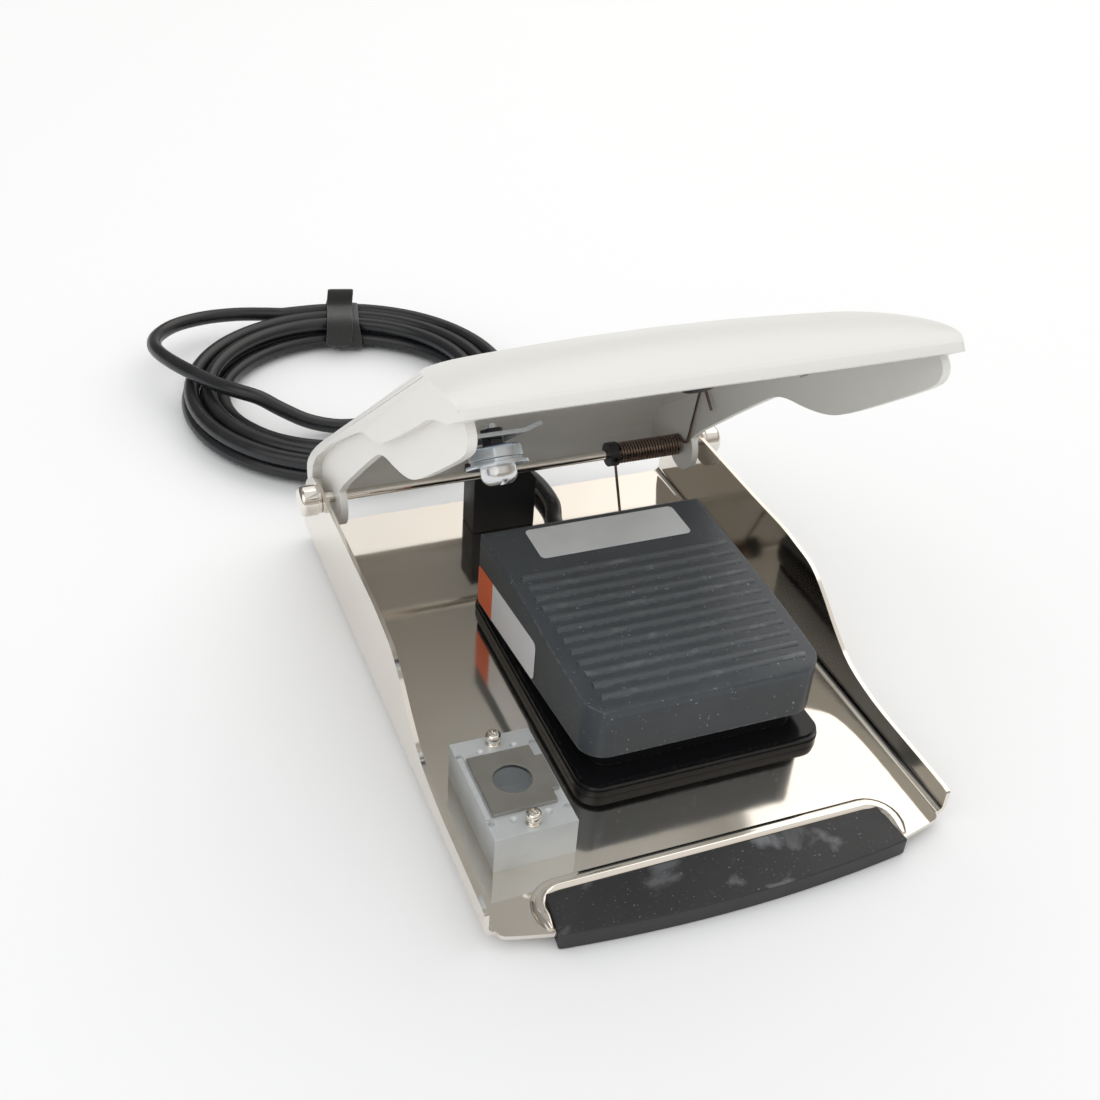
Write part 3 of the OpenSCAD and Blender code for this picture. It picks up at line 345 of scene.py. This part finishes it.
def finish(name, colour, metallic=0.0, rough=(0.3, 0.4), other=None, patch=(40.0, 0.45, 0.65),
           worn=None, wear=(0.0005, 400.0, 0.5), grain=(2500.0, 0.00002), lines=None,
           dusty=None, ribs=None, **sockets):
    """A material: colour and other meet in soft blotches, worn shows at the edges.

    patch is the blotches' scale, low and high; wear is reach, scale and breakup;
    grain is scale and depth; lines is stretch and scale; dusty is colour, scale,
    specks and amount; ribs is the colour of the rib tops, lighter partly as wear
    and partly as a painted highlight of the lit ribs, then its scuffs and its
    specks. Any other socket of the shader is given by its name in small letters.
    """
    material = bpy.data.materials.new(name)
    material.use_nodes = True
    tree = material.node_tree
    shader = tree.nodes["Principled BSDF"]
    for key, value in sockets.items():
        shader.inputs[key.replace("_", " ").title().replace("Ior", "IOR")].default_value = value
    shader.inputs["Metallic"].default_value = metallic
    mask = place_group(tree, blotches, Scale=patch[0], Low=patch[1], High=patch[2]).outputs[0]
    tint = mix_colour(tree, mask, rgb(*colour), rgb(*(other or [c * 0.93 for c in colour])))
    rough_out = span(tree, mask, 0.0, 1.0, *rough)
    if worn:
        edge = place_group(tree, edge_wear, Reach=wear[0], Scale=wear[1], Breakup=wear[2])
        tint = mix_colour(tree, edge.outputs[0], tint, rgb(*worn))
    if dusty:
        film = place_group(tree, dust, Scale=dusty[1], Specks=dusty[2]).outputs[0]
        film = maths(tree, "MULTIPLY", film, dusty[3])
        tint = mix_colour(tree, film, tint, rgb(*dusty[0]))
        rough_out = maths(tree, "ADD", rough_out, maths(tree, "MULTIPLY", film, 0.3), True)
    if ribs:
        # The ribs get a lighter colour: partly wear on their tops, and partly a painted highlight
        # where light falls on the raised ribs.
        rib_wear_and_highlight = rib_wear_and_highlight_mask(tree)
        scuff = span(tree, noise(tree, 160.0, 5.0), 0.56, 0.70)
        top = mix_colour(tree, maths(tree, "MULTIPLY", scuff, 0.55), rgb(*ribs[0]), rgb(*ribs[1]))
        tint = mix_colour(tree, rib_wear_and_highlight, tint, top)
        specks = span(tree, noise(tree, 1100.0, 0.0), 0.80, 0.84)
        tint = mix_colour(tree, specks, tint, rgb(*ribs[2]))
    tree.links.new(tint, shader.inputs["Base Color"])
    tree.links.new(rough_out, shader.inputs["Roughness"])
    height = place_group(tree, fine_grain, Scale=grain[0]).outputs[0]
    if lines:
        stroke = place_group(tree, brushed, Stretch=lines[0], Scale=lines[1]).outputs[0]
        height = maths(tree, "ADD", height, stroke)
    bump = add(tree, "ShaderNodeBump", {"Height": height, "Strength": 1.0, "Distance": grain[1]})
    tree.links.new(bump.outputs[0], shader.inputs["Normal"])
    return material


# %% Metal finishes
nickel = finish("nickel_plate", (0.83, 0.79, 0.73), 1.0, (0.07, 0.13), (0.80, 0.75, 0.68),
                patch=(14.0, 0.4, 0.7), grain=(60.0, 0.00004), worn=(0.9, 0.87, 0.82))
bright = finish("bright_caps", (0.86, 0.83, 0.78), 1.0, (0.06, 0.12), grain=(300.0, 0.00001))
steel = finish("turned_steel", (0.70, 0.71, 0.72), 1.0, (0.2, 0.3), grain=(900.0, 0.00001),
               lines=((60.0, 1.0, 1.0), 40.0))
zinc = finish("zinc_plate", (0.62, 0.67, 0.72), 1.0, (0.22, 0.36), (0.55, 0.58, 0.62),
              grain=(1200.0, 0.00001), worn=(0.8, 0.82, 0.85))
alloy = finish("bead_blasted_alloy", (0.70, 0.73, 0.74), 0.45, (0.42, 0.52), (0.64, 0.665, 0.67),
               grain=(3000.0, 0.00004), worn=(0.85, 0.85, 0.84))
cover_metal = finish("sheet_cover", (0.44, 0.43, 0.41), 1.0, (0.16, 0.26), (0.38, 0.37, 0.35),
                     grain=(1500.0, 0.00001), lines=((1.0, 30.0, 30.0), 60.0),
                     worn=(0.9, 0.89, 0.87))
spring_steel = finish("oil_tempered_wire", (0.27, 0.20, 0.17), 1.0, (0.22, 0.34),
                      (0.20, 0.15, 0.13), grain=(1800.0, 0.00001))
black_steel = finish("blackened_steel", (0.05, 0.05, 0.055), 0.8, (0.3, 0.45),
                     grain=(1500.0, 0.00002), worn=(0.4, 0.4, 0.4))

# %% Paint, plastic and rubber finishes
cream = finish("cream_paint", (0.80, 0.785, 0.745), 0.0, (0.33, 0.43), (0.785, 0.77, 0.725),
               patch=(9.0, 0.35, 0.7), grain=(1400.0, 0.00004), worn=(0.72, 0.70, 0.65),
               wear=(0.0008, 500.0, 0.55))
# The ribs' first colour is a lighter rib top, partly wear and partly a painted highlight of the
# lit ribs; the second is scuffs, the third dust specks.
charcoal = finish("charcoal_pedal", (0.050, 0.058, 0.066), 0.0, (0.34, 0.44),
                  (0.060, 0.068, 0.078), grain=(2600.0, 0.00003), worn=(0.21, 0.23, 0.245),
                  wear=(0.0013, 500.0, 0.4),
                  ribs=((0.088, 0.097, 0.106), (0.20, 0.21, 0.215), (0.26, 0.27, 0.275)))
gloss_black = finish("gloss_black_base", (0.008, 0.008, 0.009), 0.0, (0.14, 0.24),
                     grain=(500.0, 0.00001), worn=(0.05, 0.05, 0.055), specular_ior_level=0.28)
matt_black = finish("matt_black_plastic", (0.018, 0.018, 0.02), 0.0, (0.4, 0.5),
                    grain=(2500.0, 0.00003), worn=(0.06, 0.06, 0.06))
pad_rubber = finish("pad_rubber", (0.022, 0.022, 0.024), 0.0, (0.45, 0.6), (0.03, 0.03, 0.032),
                    grain=(1500.0, 0.00008), worn=(0.08, 0.08, 0.08),
                    dusty=((0.34, 0.35, 0.37), 34.0, 1100.0, 0.5))
cord_skin = finish("cord_jacket", (0.013, 0.014, 0.016), 0.0, (0.26, 0.36),
                   (0.019, 0.020, 0.023), patch=(60.0, 0.4, 0.7), grain=(1800.0, 0.00002))
red_plastic = finish("red_plastic", (0.45, 0.03, 0.02), 0.0, (0.3, 0.4))
hook_tape = finish("hook_tape", (0.022, 0.022, 0.021), 0.0, (0.75, 0.9), (0.034, 0.034, 0.032),
                   patch=(900.0, 0.35, 0.6), grain=(3200.0, 0.0003), sheen_weight=0.6,
                   sheen_roughness=0.4)
label_film = finish("label_film", (0.70, 0.715, 0.72), 0.0, (0.3, 0.38), grain=(2500.0, 0.00001))
label_white = finish("label_white", (0.74, 0.74, 0.75), 0.0, (0.3, 0.38), grain=(2500.0, 0.00001))
label_orange = finish("label_orange", (0.78, 0.13, 0.035), 0.0, (0.3, 0.38),
                      grain=(2500.0, 0.00001))
print("finishes:", len(bpy.data.materials))


# %% [markdown]
# The solids keep their shape. Their triangles are welded and flat ones
# joined, then a small bevel softens each edge and catches the light, as a
# real bend, cast corner or moulded edge does. Modifiers do this without
# touching the frame's own mesh. The treadle, the springs, the cord and the
# tie are missing from the table, because pieces made below replace them.

# %% Dress the solids
FINISHES = {
    "base_plate": (nickel, 0.35), "front_pad": (pad_rubber, 0.5), "rear_feet": (matt_black, 0.5),
    "pivot_rod": (bright, 0.2), "rod_caps": (bright, 0.2),
    "spring_collar": (matt_black, 0.2), "presser_pad": (matt_black, 0.2),
    "striker_bracket": (zinc, 0.15), "striker_screw": (steel, 0.2),
    "striker_washers": (zinc, 0.15), "striker_puck": (zinc, 0.2),
    "striker_nut": (black_steel, 0.2), "catch_body": (alloy, 0.25),
    "catch_cover": (cover_metal, 0.15), "catch_screws": (bright, 0.12),
    "catch_nuts": (steel, 0.2), "rear_stop": (matt_black, 0.5), "switch_sole": (gloss_black, 0.4),
    "switch_base": (gloss_black, 0.4), "switch_screws": (steel, 0.15),
    "switch_pedal": (charcoal, 1.1), "pedal_pin": (steel, 0.2), "snap_switch": (matt_black, 0.3),
    "switch_plunger": (red_plastic, 0.2), "strain_relief": (matt_black, 0.3),
    "plug_boot": (matt_black, 0.4), "plug_sleeve": (steel, 0.2), "plug_tip": (steel, 0.1),
}


WELD_GAP = 0.002 * MM
EDGE_DEG = 28  # edges sharper than this get a bevel


def dress(piece, material, bevel_mm, flat_deg=0.6):
    """Smooth shading, joined flats, a small bevel and one finish."""
    piece.data.materials.clear()
    piece.data.materials.append(material)
    for face in piece.data.polygons:
        face.use_smooth = True
    weld = piece.modifiers.new("weld", "WELD")
    weld.merge_threshold = WELD_GAP
    flats = piece.modifiers.new("flats", "DECIMATE")
    flats.decimate_type = "DISSOLVE"
    flats.angle_limit = math.radians(flat_deg)
    bevel = piece.modifiers.new("bevel", "BEVEL")
    bevel.width = bevel_mm * MM
    bevel.segments = 2
    bevel.limit_method = "ANGLE"
    bevel.angle_limit = math.radians(EDGE_DEG)
    soft = piece.modifiers.new("soft", "WEIGHTED_NORMAL")
    soft.weight = 100
    soft.keep_sharp = True


for name, (material, bevel_mm) in FINISHES.items():
    dress(nodes[name], material, bevel_mm)
print("dressed solids:", len(FINISHES))


# %% [markdown]
# The real treadle is a casting whose top is bowed across its width, so its
# outline against the floor is one soft curve. The solid is nearly straight
# there. A copy of its mesh, turned level, is cut into strips along all three
# axes, and each point is then raised or lowered by a smooth rule. Both
# skins of the wall move together, so the wall keeps its thickness.

# %% The treadle's crown
SIDE_GAP = 2.05  # between the treadle and the edge of the base
TREADLE_HALF = BASE_WIDTH / 2 - SIDE_GAP
TREADLE_LEN = 190.4
OPEN = math.radians(38)
BOW, BOW_DROP = 2.3, 3.4  # rise at mid width, and fall from there to the sides
RIM_DROP, RIM = 1.8, 20  # extra fall over that width at each side
SHOULDER_DROP, SHOULDER = 1.0, 30
CORNER = 3.2  # radius in plan
ACROSS = (1.3, 2.5, 4.5, 5.7, 7.3, 9.7, 12.7, 16, 20, 26, 33, 41, 50, 60)
FRONT = (0.5, 1.1, 1.8, 2.5, 3.2)
HEIGHTS = (2.4, 4.6, 6.8, 9.1, 11.3, 13.6, 15.9, 18.2)
SKIN = (2, 19)  # heights between which the side takes up the top's shift
closed = (Matrix.Rotation(OPEN, 4, "X") @ Matrix.Translation((0, -SHIFT_Y, -HINGE_Z))
          @ Matrix.Scale(1 / MM, 4))


def crowned(p):
    """The place of a point of the treadle once its top is bowed, in the closed pose."""
    x, y, z = p
    side = TREADLE_HALF - abs(x)
    bow = BOW - BOW_DROP * (x / TREADLE_HALF) ** 2 - RIM_DROP * max(0.0, 1 - side / RIM) ** 2
    shoulder = -SHOULDER_DROP * max(0.0, 1 - side / SHOULDER) ** 2
    shoulder *= fade(y, -135, -90) * (1 - fade(y, -75, -25))
    z += (bow * (1 - fade(y, -75, 15)) + shoulder) * fade(z, *SKIN)
    a, b = CORNER - side, CORNER - (y + TREADLE_LEN)
    if a > 0 and b > 0:
        shrink = max(a, b) / math.hypot(a, b)
        x -= math.copysign(a * (1 - shrink), x)
        y += b * (1 - shrink)
    return Vector((x, y, z))


def cut_across(work, spots, axis):
    """Splits the faces of the mesh at those places along an axis."""
    for spot in spots:
        bmesh.ops.bisect_plane(work, geom=work.verts[:] + work.edges[:] + work.faces[:],
                               dist=1e-4, plane_co=spot * axis, plane_no=axis)


work = bmesh.new()
work.from_mesh(nodes["treadle"].data)
work.transform(closed)
bmesh.ops.remove_doubles(work, verts=work.verts, dist=0.002)
columns = [s * (TREADLE_HALF - d) for s in (-1, 1) for d in ACROSS] + [0]
cut_across(work, columns, Vector((1, 0, 0)))
cut_across(work, [d - TREADLE_LEN for d in FRONT], Vector((0, 1, 0)))
cut_across(work, HEIGHTS, Vector((0, 0, 1)))
for point in work.verts:
    point.co = crowned(point.co)
work.transform(closed.inverted())
shell_mesh = bpy.data.meshes.new("treadle_shell")
work.to_mesh(shell_mesh)
work.free()
treadle_shell = placed("treadle_shell", shell_mesh)
dress(treadle_shell, cream, 0.6, flat_deg=0.02)
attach(treadle_shell, "treadle")
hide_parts("treadle")
print("treadle points:", len(shell_mesh.vertices))


# %% [markdown]
# A blank label lies on the pedal's rear, and a blank two-colour sticker on
# its left side. Each is a thin film. Its outline is a rounded rectangle, and
# every point of it is dropped onto the pedal along a ray, so that the film
# lies on the real slope of the surface and never cuts into it.

# %% Labels on the pedal
pedal_mesh = nodes["switch_pedal"].data
pedal_tree = BVHTree.FromPolygons([v.co.copy() for v in pedal_mesh.vertices],
                                  [tuple(f.vertices) for f in pedal_mesh.polygons])
FILM_LIFT, FILM_THICK = 0.12 * MM, 0.1 * MM
EDGE_Z, EDGE_Y, EDGE_FALL = 12.2, -47, 0.063  # lower edge of the sticker on the left


def rounded(u0, u1, v0, v1, radii):
    """Outline of a rectangle; radii are for its corners u0v0, u1v0, u1v1, u0v1, in mm."""
    out = []
    spots = ((u0, v0, 1, 1, 180), (u1, v0, -1, 1, 270), (u1, v1, -1, -1, 0), (u0, v1, 1, -1, 90))
    for (u, v, du, dv, turn), r in zip(spots, radii):
        for k in range(7 if r else 1):
            a = math.radians(turn + 15 * k)
            out.append((u + r * (du + math.cos(a)), v + r * (dv + math.sin(a))))
    return out


def film(name, outline, material, slot):
    """A film from a flat outline of points and ray directions, laid on the pedal."""
    spots = []
    for start, way in outline:
        spot, normal, _, _ = pedal_tree.ray_cast(start, way)
        spots.append(spot + FILM_LIFT * normal)
    piece = mesh_piece(name, spots, [tuple(range(len(spots)))], material)
    piece.modifiers.new("thick", "SOLIDIFY").thickness = FILM_THICK
    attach(piece, "pedal")


def from_above(points):
    """Rays down onto the top, from above the pedal."""
    return [(in_frame(x, y, 90), Vector((0, 0, -1))) for x, y in points]


def from_left(points):
    """Rays onto the left side; the film runs along the side's sloping lower edge."""
    return [(in_frame(-60, y, EDGE_Z - EDGE_FALL * (y - EDGE_Y) + up), Vector((1, 0, 0)))
            for y, up in points]


STICKER_H = 16.4
film("rear_label", from_above(rounded(-16, 44.5, -67, -48.5, (2, 2, 2, 2))), label_film, "cream")
film("side_sticker_front", from_left(rounded(-102, -62, 0, STICKER_H, (2.5, 0, 0, 2.5))),
     label_white, "cream")
film("side_sticker_rear", from_left(rounded(-62, EDGE_Y, 0, STICKER_H, (0, 2.5, 2.5, 0))),
     label_orange, "red_plastic")
print("films laid on the pedal: 3")


# %% [markdown]
# A tube made from a curve stays round at any zoom and needs only its
# centre line. The cord and the springs are made this way.

# %% Tube from a centre line
def tube(name, points, radius, material, body, resolution=6):
    """A round tube along points in mm, given as in_frame takes them."""
    curve = bpy.data.curves.new(name, "CURVE")
    curve.dimensions = "3D"
    curve.bevel_depth = radius * MM
    curve.bevel_resolution = resolution
    curve.use_fill_caps = True
    line = curve.splines.new("POLY")
    line.points.add(len(points) - 1)
    for spot, p in zip(line.points, points):
        spot.co = (*in_frame(*p), 1)
    line.use_smooth = True
    curve.materials.append(material)
    piece = placed(name, curve)
    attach(piece, body)
    return piece


def length_of(points):
    return sum((b - a).length for a, b in zip(points, points[1:])) * MM


# %% The cord
cord = tube("cord", route, CORD_D / 2, cord_skin, "base", resolution=8)
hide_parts("cord_lead", "cord_coil", "cord_tail")
print("cord length, m:", round(length_of(route), 3))


# %% [markdown]
# The tie is a strip of hook and loop tape. It goes round the cords, over
# itself once, and its end is folded up into a tab to pull. Each layer is a
# ribbon that follows a line of points round the bundle. Solidify gives the
# ribbon its thickness, and a subdivision rounds the bends as cloth does.

# %% The tie
TIE_A = math.radians(77)
TIE_IN, TIE_OUT, TIE_TOP = LOOP_R0 - 4.0, LOOP_R1 + 4.0, 16.0
TIE_MID_Z = 8
TAPE = 1.1  # thickness
ROWS = 4  # faces over the tape's width
tie_turn = Matrix.Translation(LOOP_MID) @ Matrix.Rotation(TIE_A, 4, "Z")


def ribbon(name, line, width, shift, lean, closed_line):
    """A strap of that width; the line is [outwards, up], lean slides it along the cords."""
    count, row = len(line), ROWS + 1
    points, faces = [], []
    for out, up in line:
        slide = shift + lean * (up - TIE_MID_Z) / TIE_MID_Z
        for k in range(row):
            across = (k / ROWS - 0.5) * width
            points.append(in_frame(*(tie_turn @ Vector((out, slide + across, up)))))
    for i in range(count if closed_line else count - 1):
        a, b = row * i, row * ((i + 1) % count)
        faces += [(a + k, a + k + 1, b + k + 1, b + k) for k in range(ROWS)]
    piece = mesh_piece(name, points, faces, hook_tape)
    for face in piece.data.polygons:
        face.use_smooth = True
    thick = piece.modifiers.new("thick", "SOLIDIFY")
    thick.thickness = TAPE * MM
    thick.offset = 0
    soft = piece.modifiers.new("soft", "SUBSURF")
    soft.levels = soft.render_levels = 2
    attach(piece, "base")
    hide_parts("cord_tie")
    return piece


wrap = [(TIE_IN, 5), (TIE_IN, 12), (TIE_IN + 1.2, 15), (TIE_IN + 4.5, TIE_TOP), (60, TIE_TOP),
        (68, TIE_TOP + 0.2), (TIE_OUT - 5, TIE_TOP), (TIE_OUT - 1.2, 14.6), (TIE_OUT, 11.5),
        (TIE_OUT, 5), (TIE_OUT - 1, 1.8), (TIE_OUT - 4.5, 0.7), (68, 0.7), (60, 0.7),
        (TIE_IN + 4.5, 0.7), (TIE_IN + 1, 1.8)]
over = [(TIE_IN - 1.2, 4), (TIE_IN - 1.2, 12), (TIE_IN + 0.3, 15.8), (TIE_IN + 4, TIE_TOP + 1.2),
        (62, TIE_TOP + 1.3), (70, TIE_TOP + 1.5), (72.4, 18.6), (72.9, 21.5), (73.3, 24),
        (74.6, 25.2), (75.9, 24), (76.2, 21.5), (76.6, 18.7), (78.6, TIE_TOP + 1),
        (TIE_OUT - 0.2, 15), (TIE_OUT + 1.2, 11.5), (TIE_OUT + 1.2, 4)]
tie_wrap = ribbon("cord_tie_wrap", wrap, 15, -1.2, 1.0, True)
tie_over = ribbon("cord_tie_over", over, 13, 2.6, -0.8, False)
print("tie layers: 2")


# %% [markdown]
# The torsion spring turns on the rod. Its lower leg presses on the plate
# and its upper leg hooks under the treadle. When the treadle comes down the
# upper leg goes with it, so that leg is a piece of its own with the last
# part of the winding, and rides on the treadle.

# %% The treadle spring
WIRE_D = 1.15
COIL_R = 3.9
SPRING_X0, SPRING_LEN = 43.6, 28.6
LEG_LOW = 26.0  # degrees by which the lower leg leans
TURNS_DEG = 360 * 21 + 90 + LEG_LOW
STEP_DEG, LAP_DEG = 12, 60  # between points, and of the winding that the leg keeps


def spring_point(angle):
    """A point of the winding, angle running in degrees from the lower leg."""
    f = angle / TURNS_DEG
    a = math.radians(angle - LEG_LOW)
    return Vector((SPRING_X0 + WIRE_D / 2 + f * (SPRING_LEN - WIRE_D),
                   COIL_R * math.cos(a), HINGE_Z + COIL_R * math.sin(a)))


low = math.radians(LEG_LOW)
down = Vector((0, -math.sin(low), -math.cos(low)))
foot = spring_point(0)
foot_len = (foot.z - PLATE_Z - WIRE_D / 2 - 0.05) / math.cos(low)
ground = foot + foot_len * down
winding = [ground + Vector((0, -5, 0.3)), ground + Vector((0, -1, 0.1)),
           foot + (foot_len - 1.2) * down, foot + 0.5 * foot_len * down, foot + down]
winding += [spring_point(a) for a in range(0, int(TURNS_DEG), STEP_DEG)]
hook = [spring_point(TURNS_DEG)] + [spring_point(TURNS_DEG) + Vector((-x, -y, z)) for x, y, z in (
    (0.1, 4.6, 0.1), (0.2, 7.2, 1.1), (0.2, 8.5, 4), (0.5, 11, 16), (0.9, 13.8, 28.8),
    (1, 14.6, 31), (1.1, 16.4, 31.8), (1.1, 18.6, 31), (1.2, 21.6, 28.8), (1.3, 25, 26.2))]
leg = [spring_point(TURNS_DEG - LAP_DEG + a) for a in range(0, LAP_DEG, STEP_DEG)]
leg += smooth(hook, 5)
spring_coil = tube("treadle_spring_coil", winding, WIRE_D / 2, spring_steel, "base")
spring_leg = tube("treadle_spring_leg", leg, WIRE_D / 2, spring_steel, "treadle")
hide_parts("treadle_spring")
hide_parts("treadle_spring")
print("spring wire, m:", round(length_of(winding) + length_of(leg), 3))

# %% The pedal spring
PEDAL_X, PEDAL_Y = 13.0, -123.0
PEDAL_R, PEDAL_WIRE, PEDAL_TURNS, PER_TURN = 5.4, 0.6, 6, 24
END = PEDAL_WIRE + 0.05  # from the centre line's ends to the pieces that it presses
low_z, high_z = (corner.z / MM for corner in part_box("pedal_spring"))
steps = PEDAL_TURNS * PER_TURN
wound = [Vector((PEDAL_X + PEDAL_R * math.cos(i * math.tau / PER_TURN),
                 PEDAL_Y + PEDAL_R * math.sin(i * math.tau / PER_TURN),
                 low_z + END + (high_z - low_z - 2 * END) * i / steps))
         for i in range(steps + 1)]
wire_curve = tube("pedal_spring_line", wound, PEDAL_WIRE, steel, "base")
bpy.context.view_layer.update()
wire_mesh = bpy.data.meshes.new_from_object(
    wire_curve.evaluated_get(bpy.context.evaluated_depsgraph_get()))
bpy.data.objects.remove(wire_curve)
pedal_spring = placed("pedal_spring_wire", wire_mesh)
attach(pedal_spring, "base")
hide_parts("pedal_spring")
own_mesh(pedal_spring)
print("pedal spring height, mm:", round(high_z - low_z, 1))


# %% [markdown]
# The floor is plain and pale, and large soft lamps give the mild shadows of
# a studio. The world is near white to the camera and one pale grey to
# diffuse rays. Glossy rays see a ramp of pale and brown bands instead, so
# bright metal shows a room with a darker side, and not one flat white.

# %% Floor
def flat_material(name, colour, rough):
    material = bpy.data.materials.new(name)
    material.use_nodes = True
    shader = material.node_tree.nodes["Principled BSDF"]
    shader.inputs["Base Color"].default_value = rgb(*colour)
    shader.inputs["Roughness"].default_value = rough
    shader.inputs["Specular IOR Level"].default_value = 0.2
    return material


FLOOR_Z = -0.0002
corners = [(x, y, FLOOR_Z) for x, y in ((-6, -6), (6, -6), (6, 9), (-6, 9))]
floor = mesh_piece("floor", corners, [(0, 1, 2, 3)],
                   flat_material("floor_paper", (0.955, 0.955, 0.95), 0.6))
print("floor size, m:", [round(v, 1) for v in floor.dimensions])

# %% World
world = bpy.data.worlds.new("studio")
bpy.context.scene.world = world
world.use_nodes = True
sky = world.node_tree
background = sky.nodes["Background"]
background.inputs["Strength"].default_value = 1.0
path = sky.nodes.new("ShaderNodeLightPath")
way = add(sky, "ShaderNodeSeparateXYZ",
          {0: sky.nodes.new("ShaderNodeTexCoord").outputs["Generated"]})
height = span(sky, way.outputs["Z"], -0.2, 1.0)
ramp = add(sky, "ShaderNodeValToRGB", {"Fac": height})
STOPS = ((0.0, (0.62, 0.60, 0.57)), (0.30, (0.50, 0.46, 0.41)), (0.45, (0.32, 0.28, 0.24)),
         (0.60, (0.62, 0.57, 0.51)), (0.80, (0.85, 0.82, 0.78)))
for spot, colour in STOPS:
    stop = ramp.color_ramp.elements.new(spot) if spot else ramp.color_ramp.elements[0]
    stop.color = rgb(*colour)
ramp.color_ramp.elements[-1].color = rgb(0.80, 0.78, 0.75)
heading_of = maths(sky, "DIVIDE", way.outputs["X"], maths(sky, "MAXIMUM", way.outputs["Y"], 0.05))
front = span(sky, way.outputs["Y"], 0.15, -0.25)
level = maths(sky, "MAXIMUM", span(sky, heading_of, 0.28, 0.62, 0.34, 1.0), front)
shade = add(sky, "ShaderNodeCombineColor", {k: level for k in range(3)}).outputs[0]
room = sky.nodes.new("ShaderNodeMix")
room.data_type, room.blend_type = "RGBA", "MULTIPLY"
room.inputs[0].default_value = 1.0
sky.links.new(ramp.outputs[0], room.inputs[6])
sky.links.new(shade, room.inputs[7])
seen = mix_colour(sky, path.outputs["Is Glossy Ray"], rgb(0.80, 0.805, 0.81), room.outputs[2])
seen = mix_colour(sky, path.outputs["Is Camera Ray"], seen, rgb(0.93, 0.93, 0.925))
sky.links.new(seen, background.inputs["Color"])
print("world stops:", len(ramp.color_ramp.elements))


# %% Lamps
def soft_lamp(name, place, target, size, watts, colour):
    data = bpy.data.lights.new(name, "AREA")
    data.shape = "RECTANGLE"
    data.size, data.size_y = size
    data.energy = watts
    data.color = colour
    lamp = placed(name, data)
    lamp.location = place
    lamp.rotation_mode = "QUATERNION"
    lamp.rotation_quaternion = (Vector(target) - Vector(place)).to_track_quat("-Z", "Y")


soft_lamp("key", (0.9, 1.0, 1.6), (0, 0, 0), (2.6, 2.0), 12.0, (1.0, 0.985, 0.96))
soft_lamp("fill", (-1.4, -0.8, 1.3), (0, -0.1, 0.05), (2.0, 2.0), 8.0, (0.96, 0.98, 1.0))
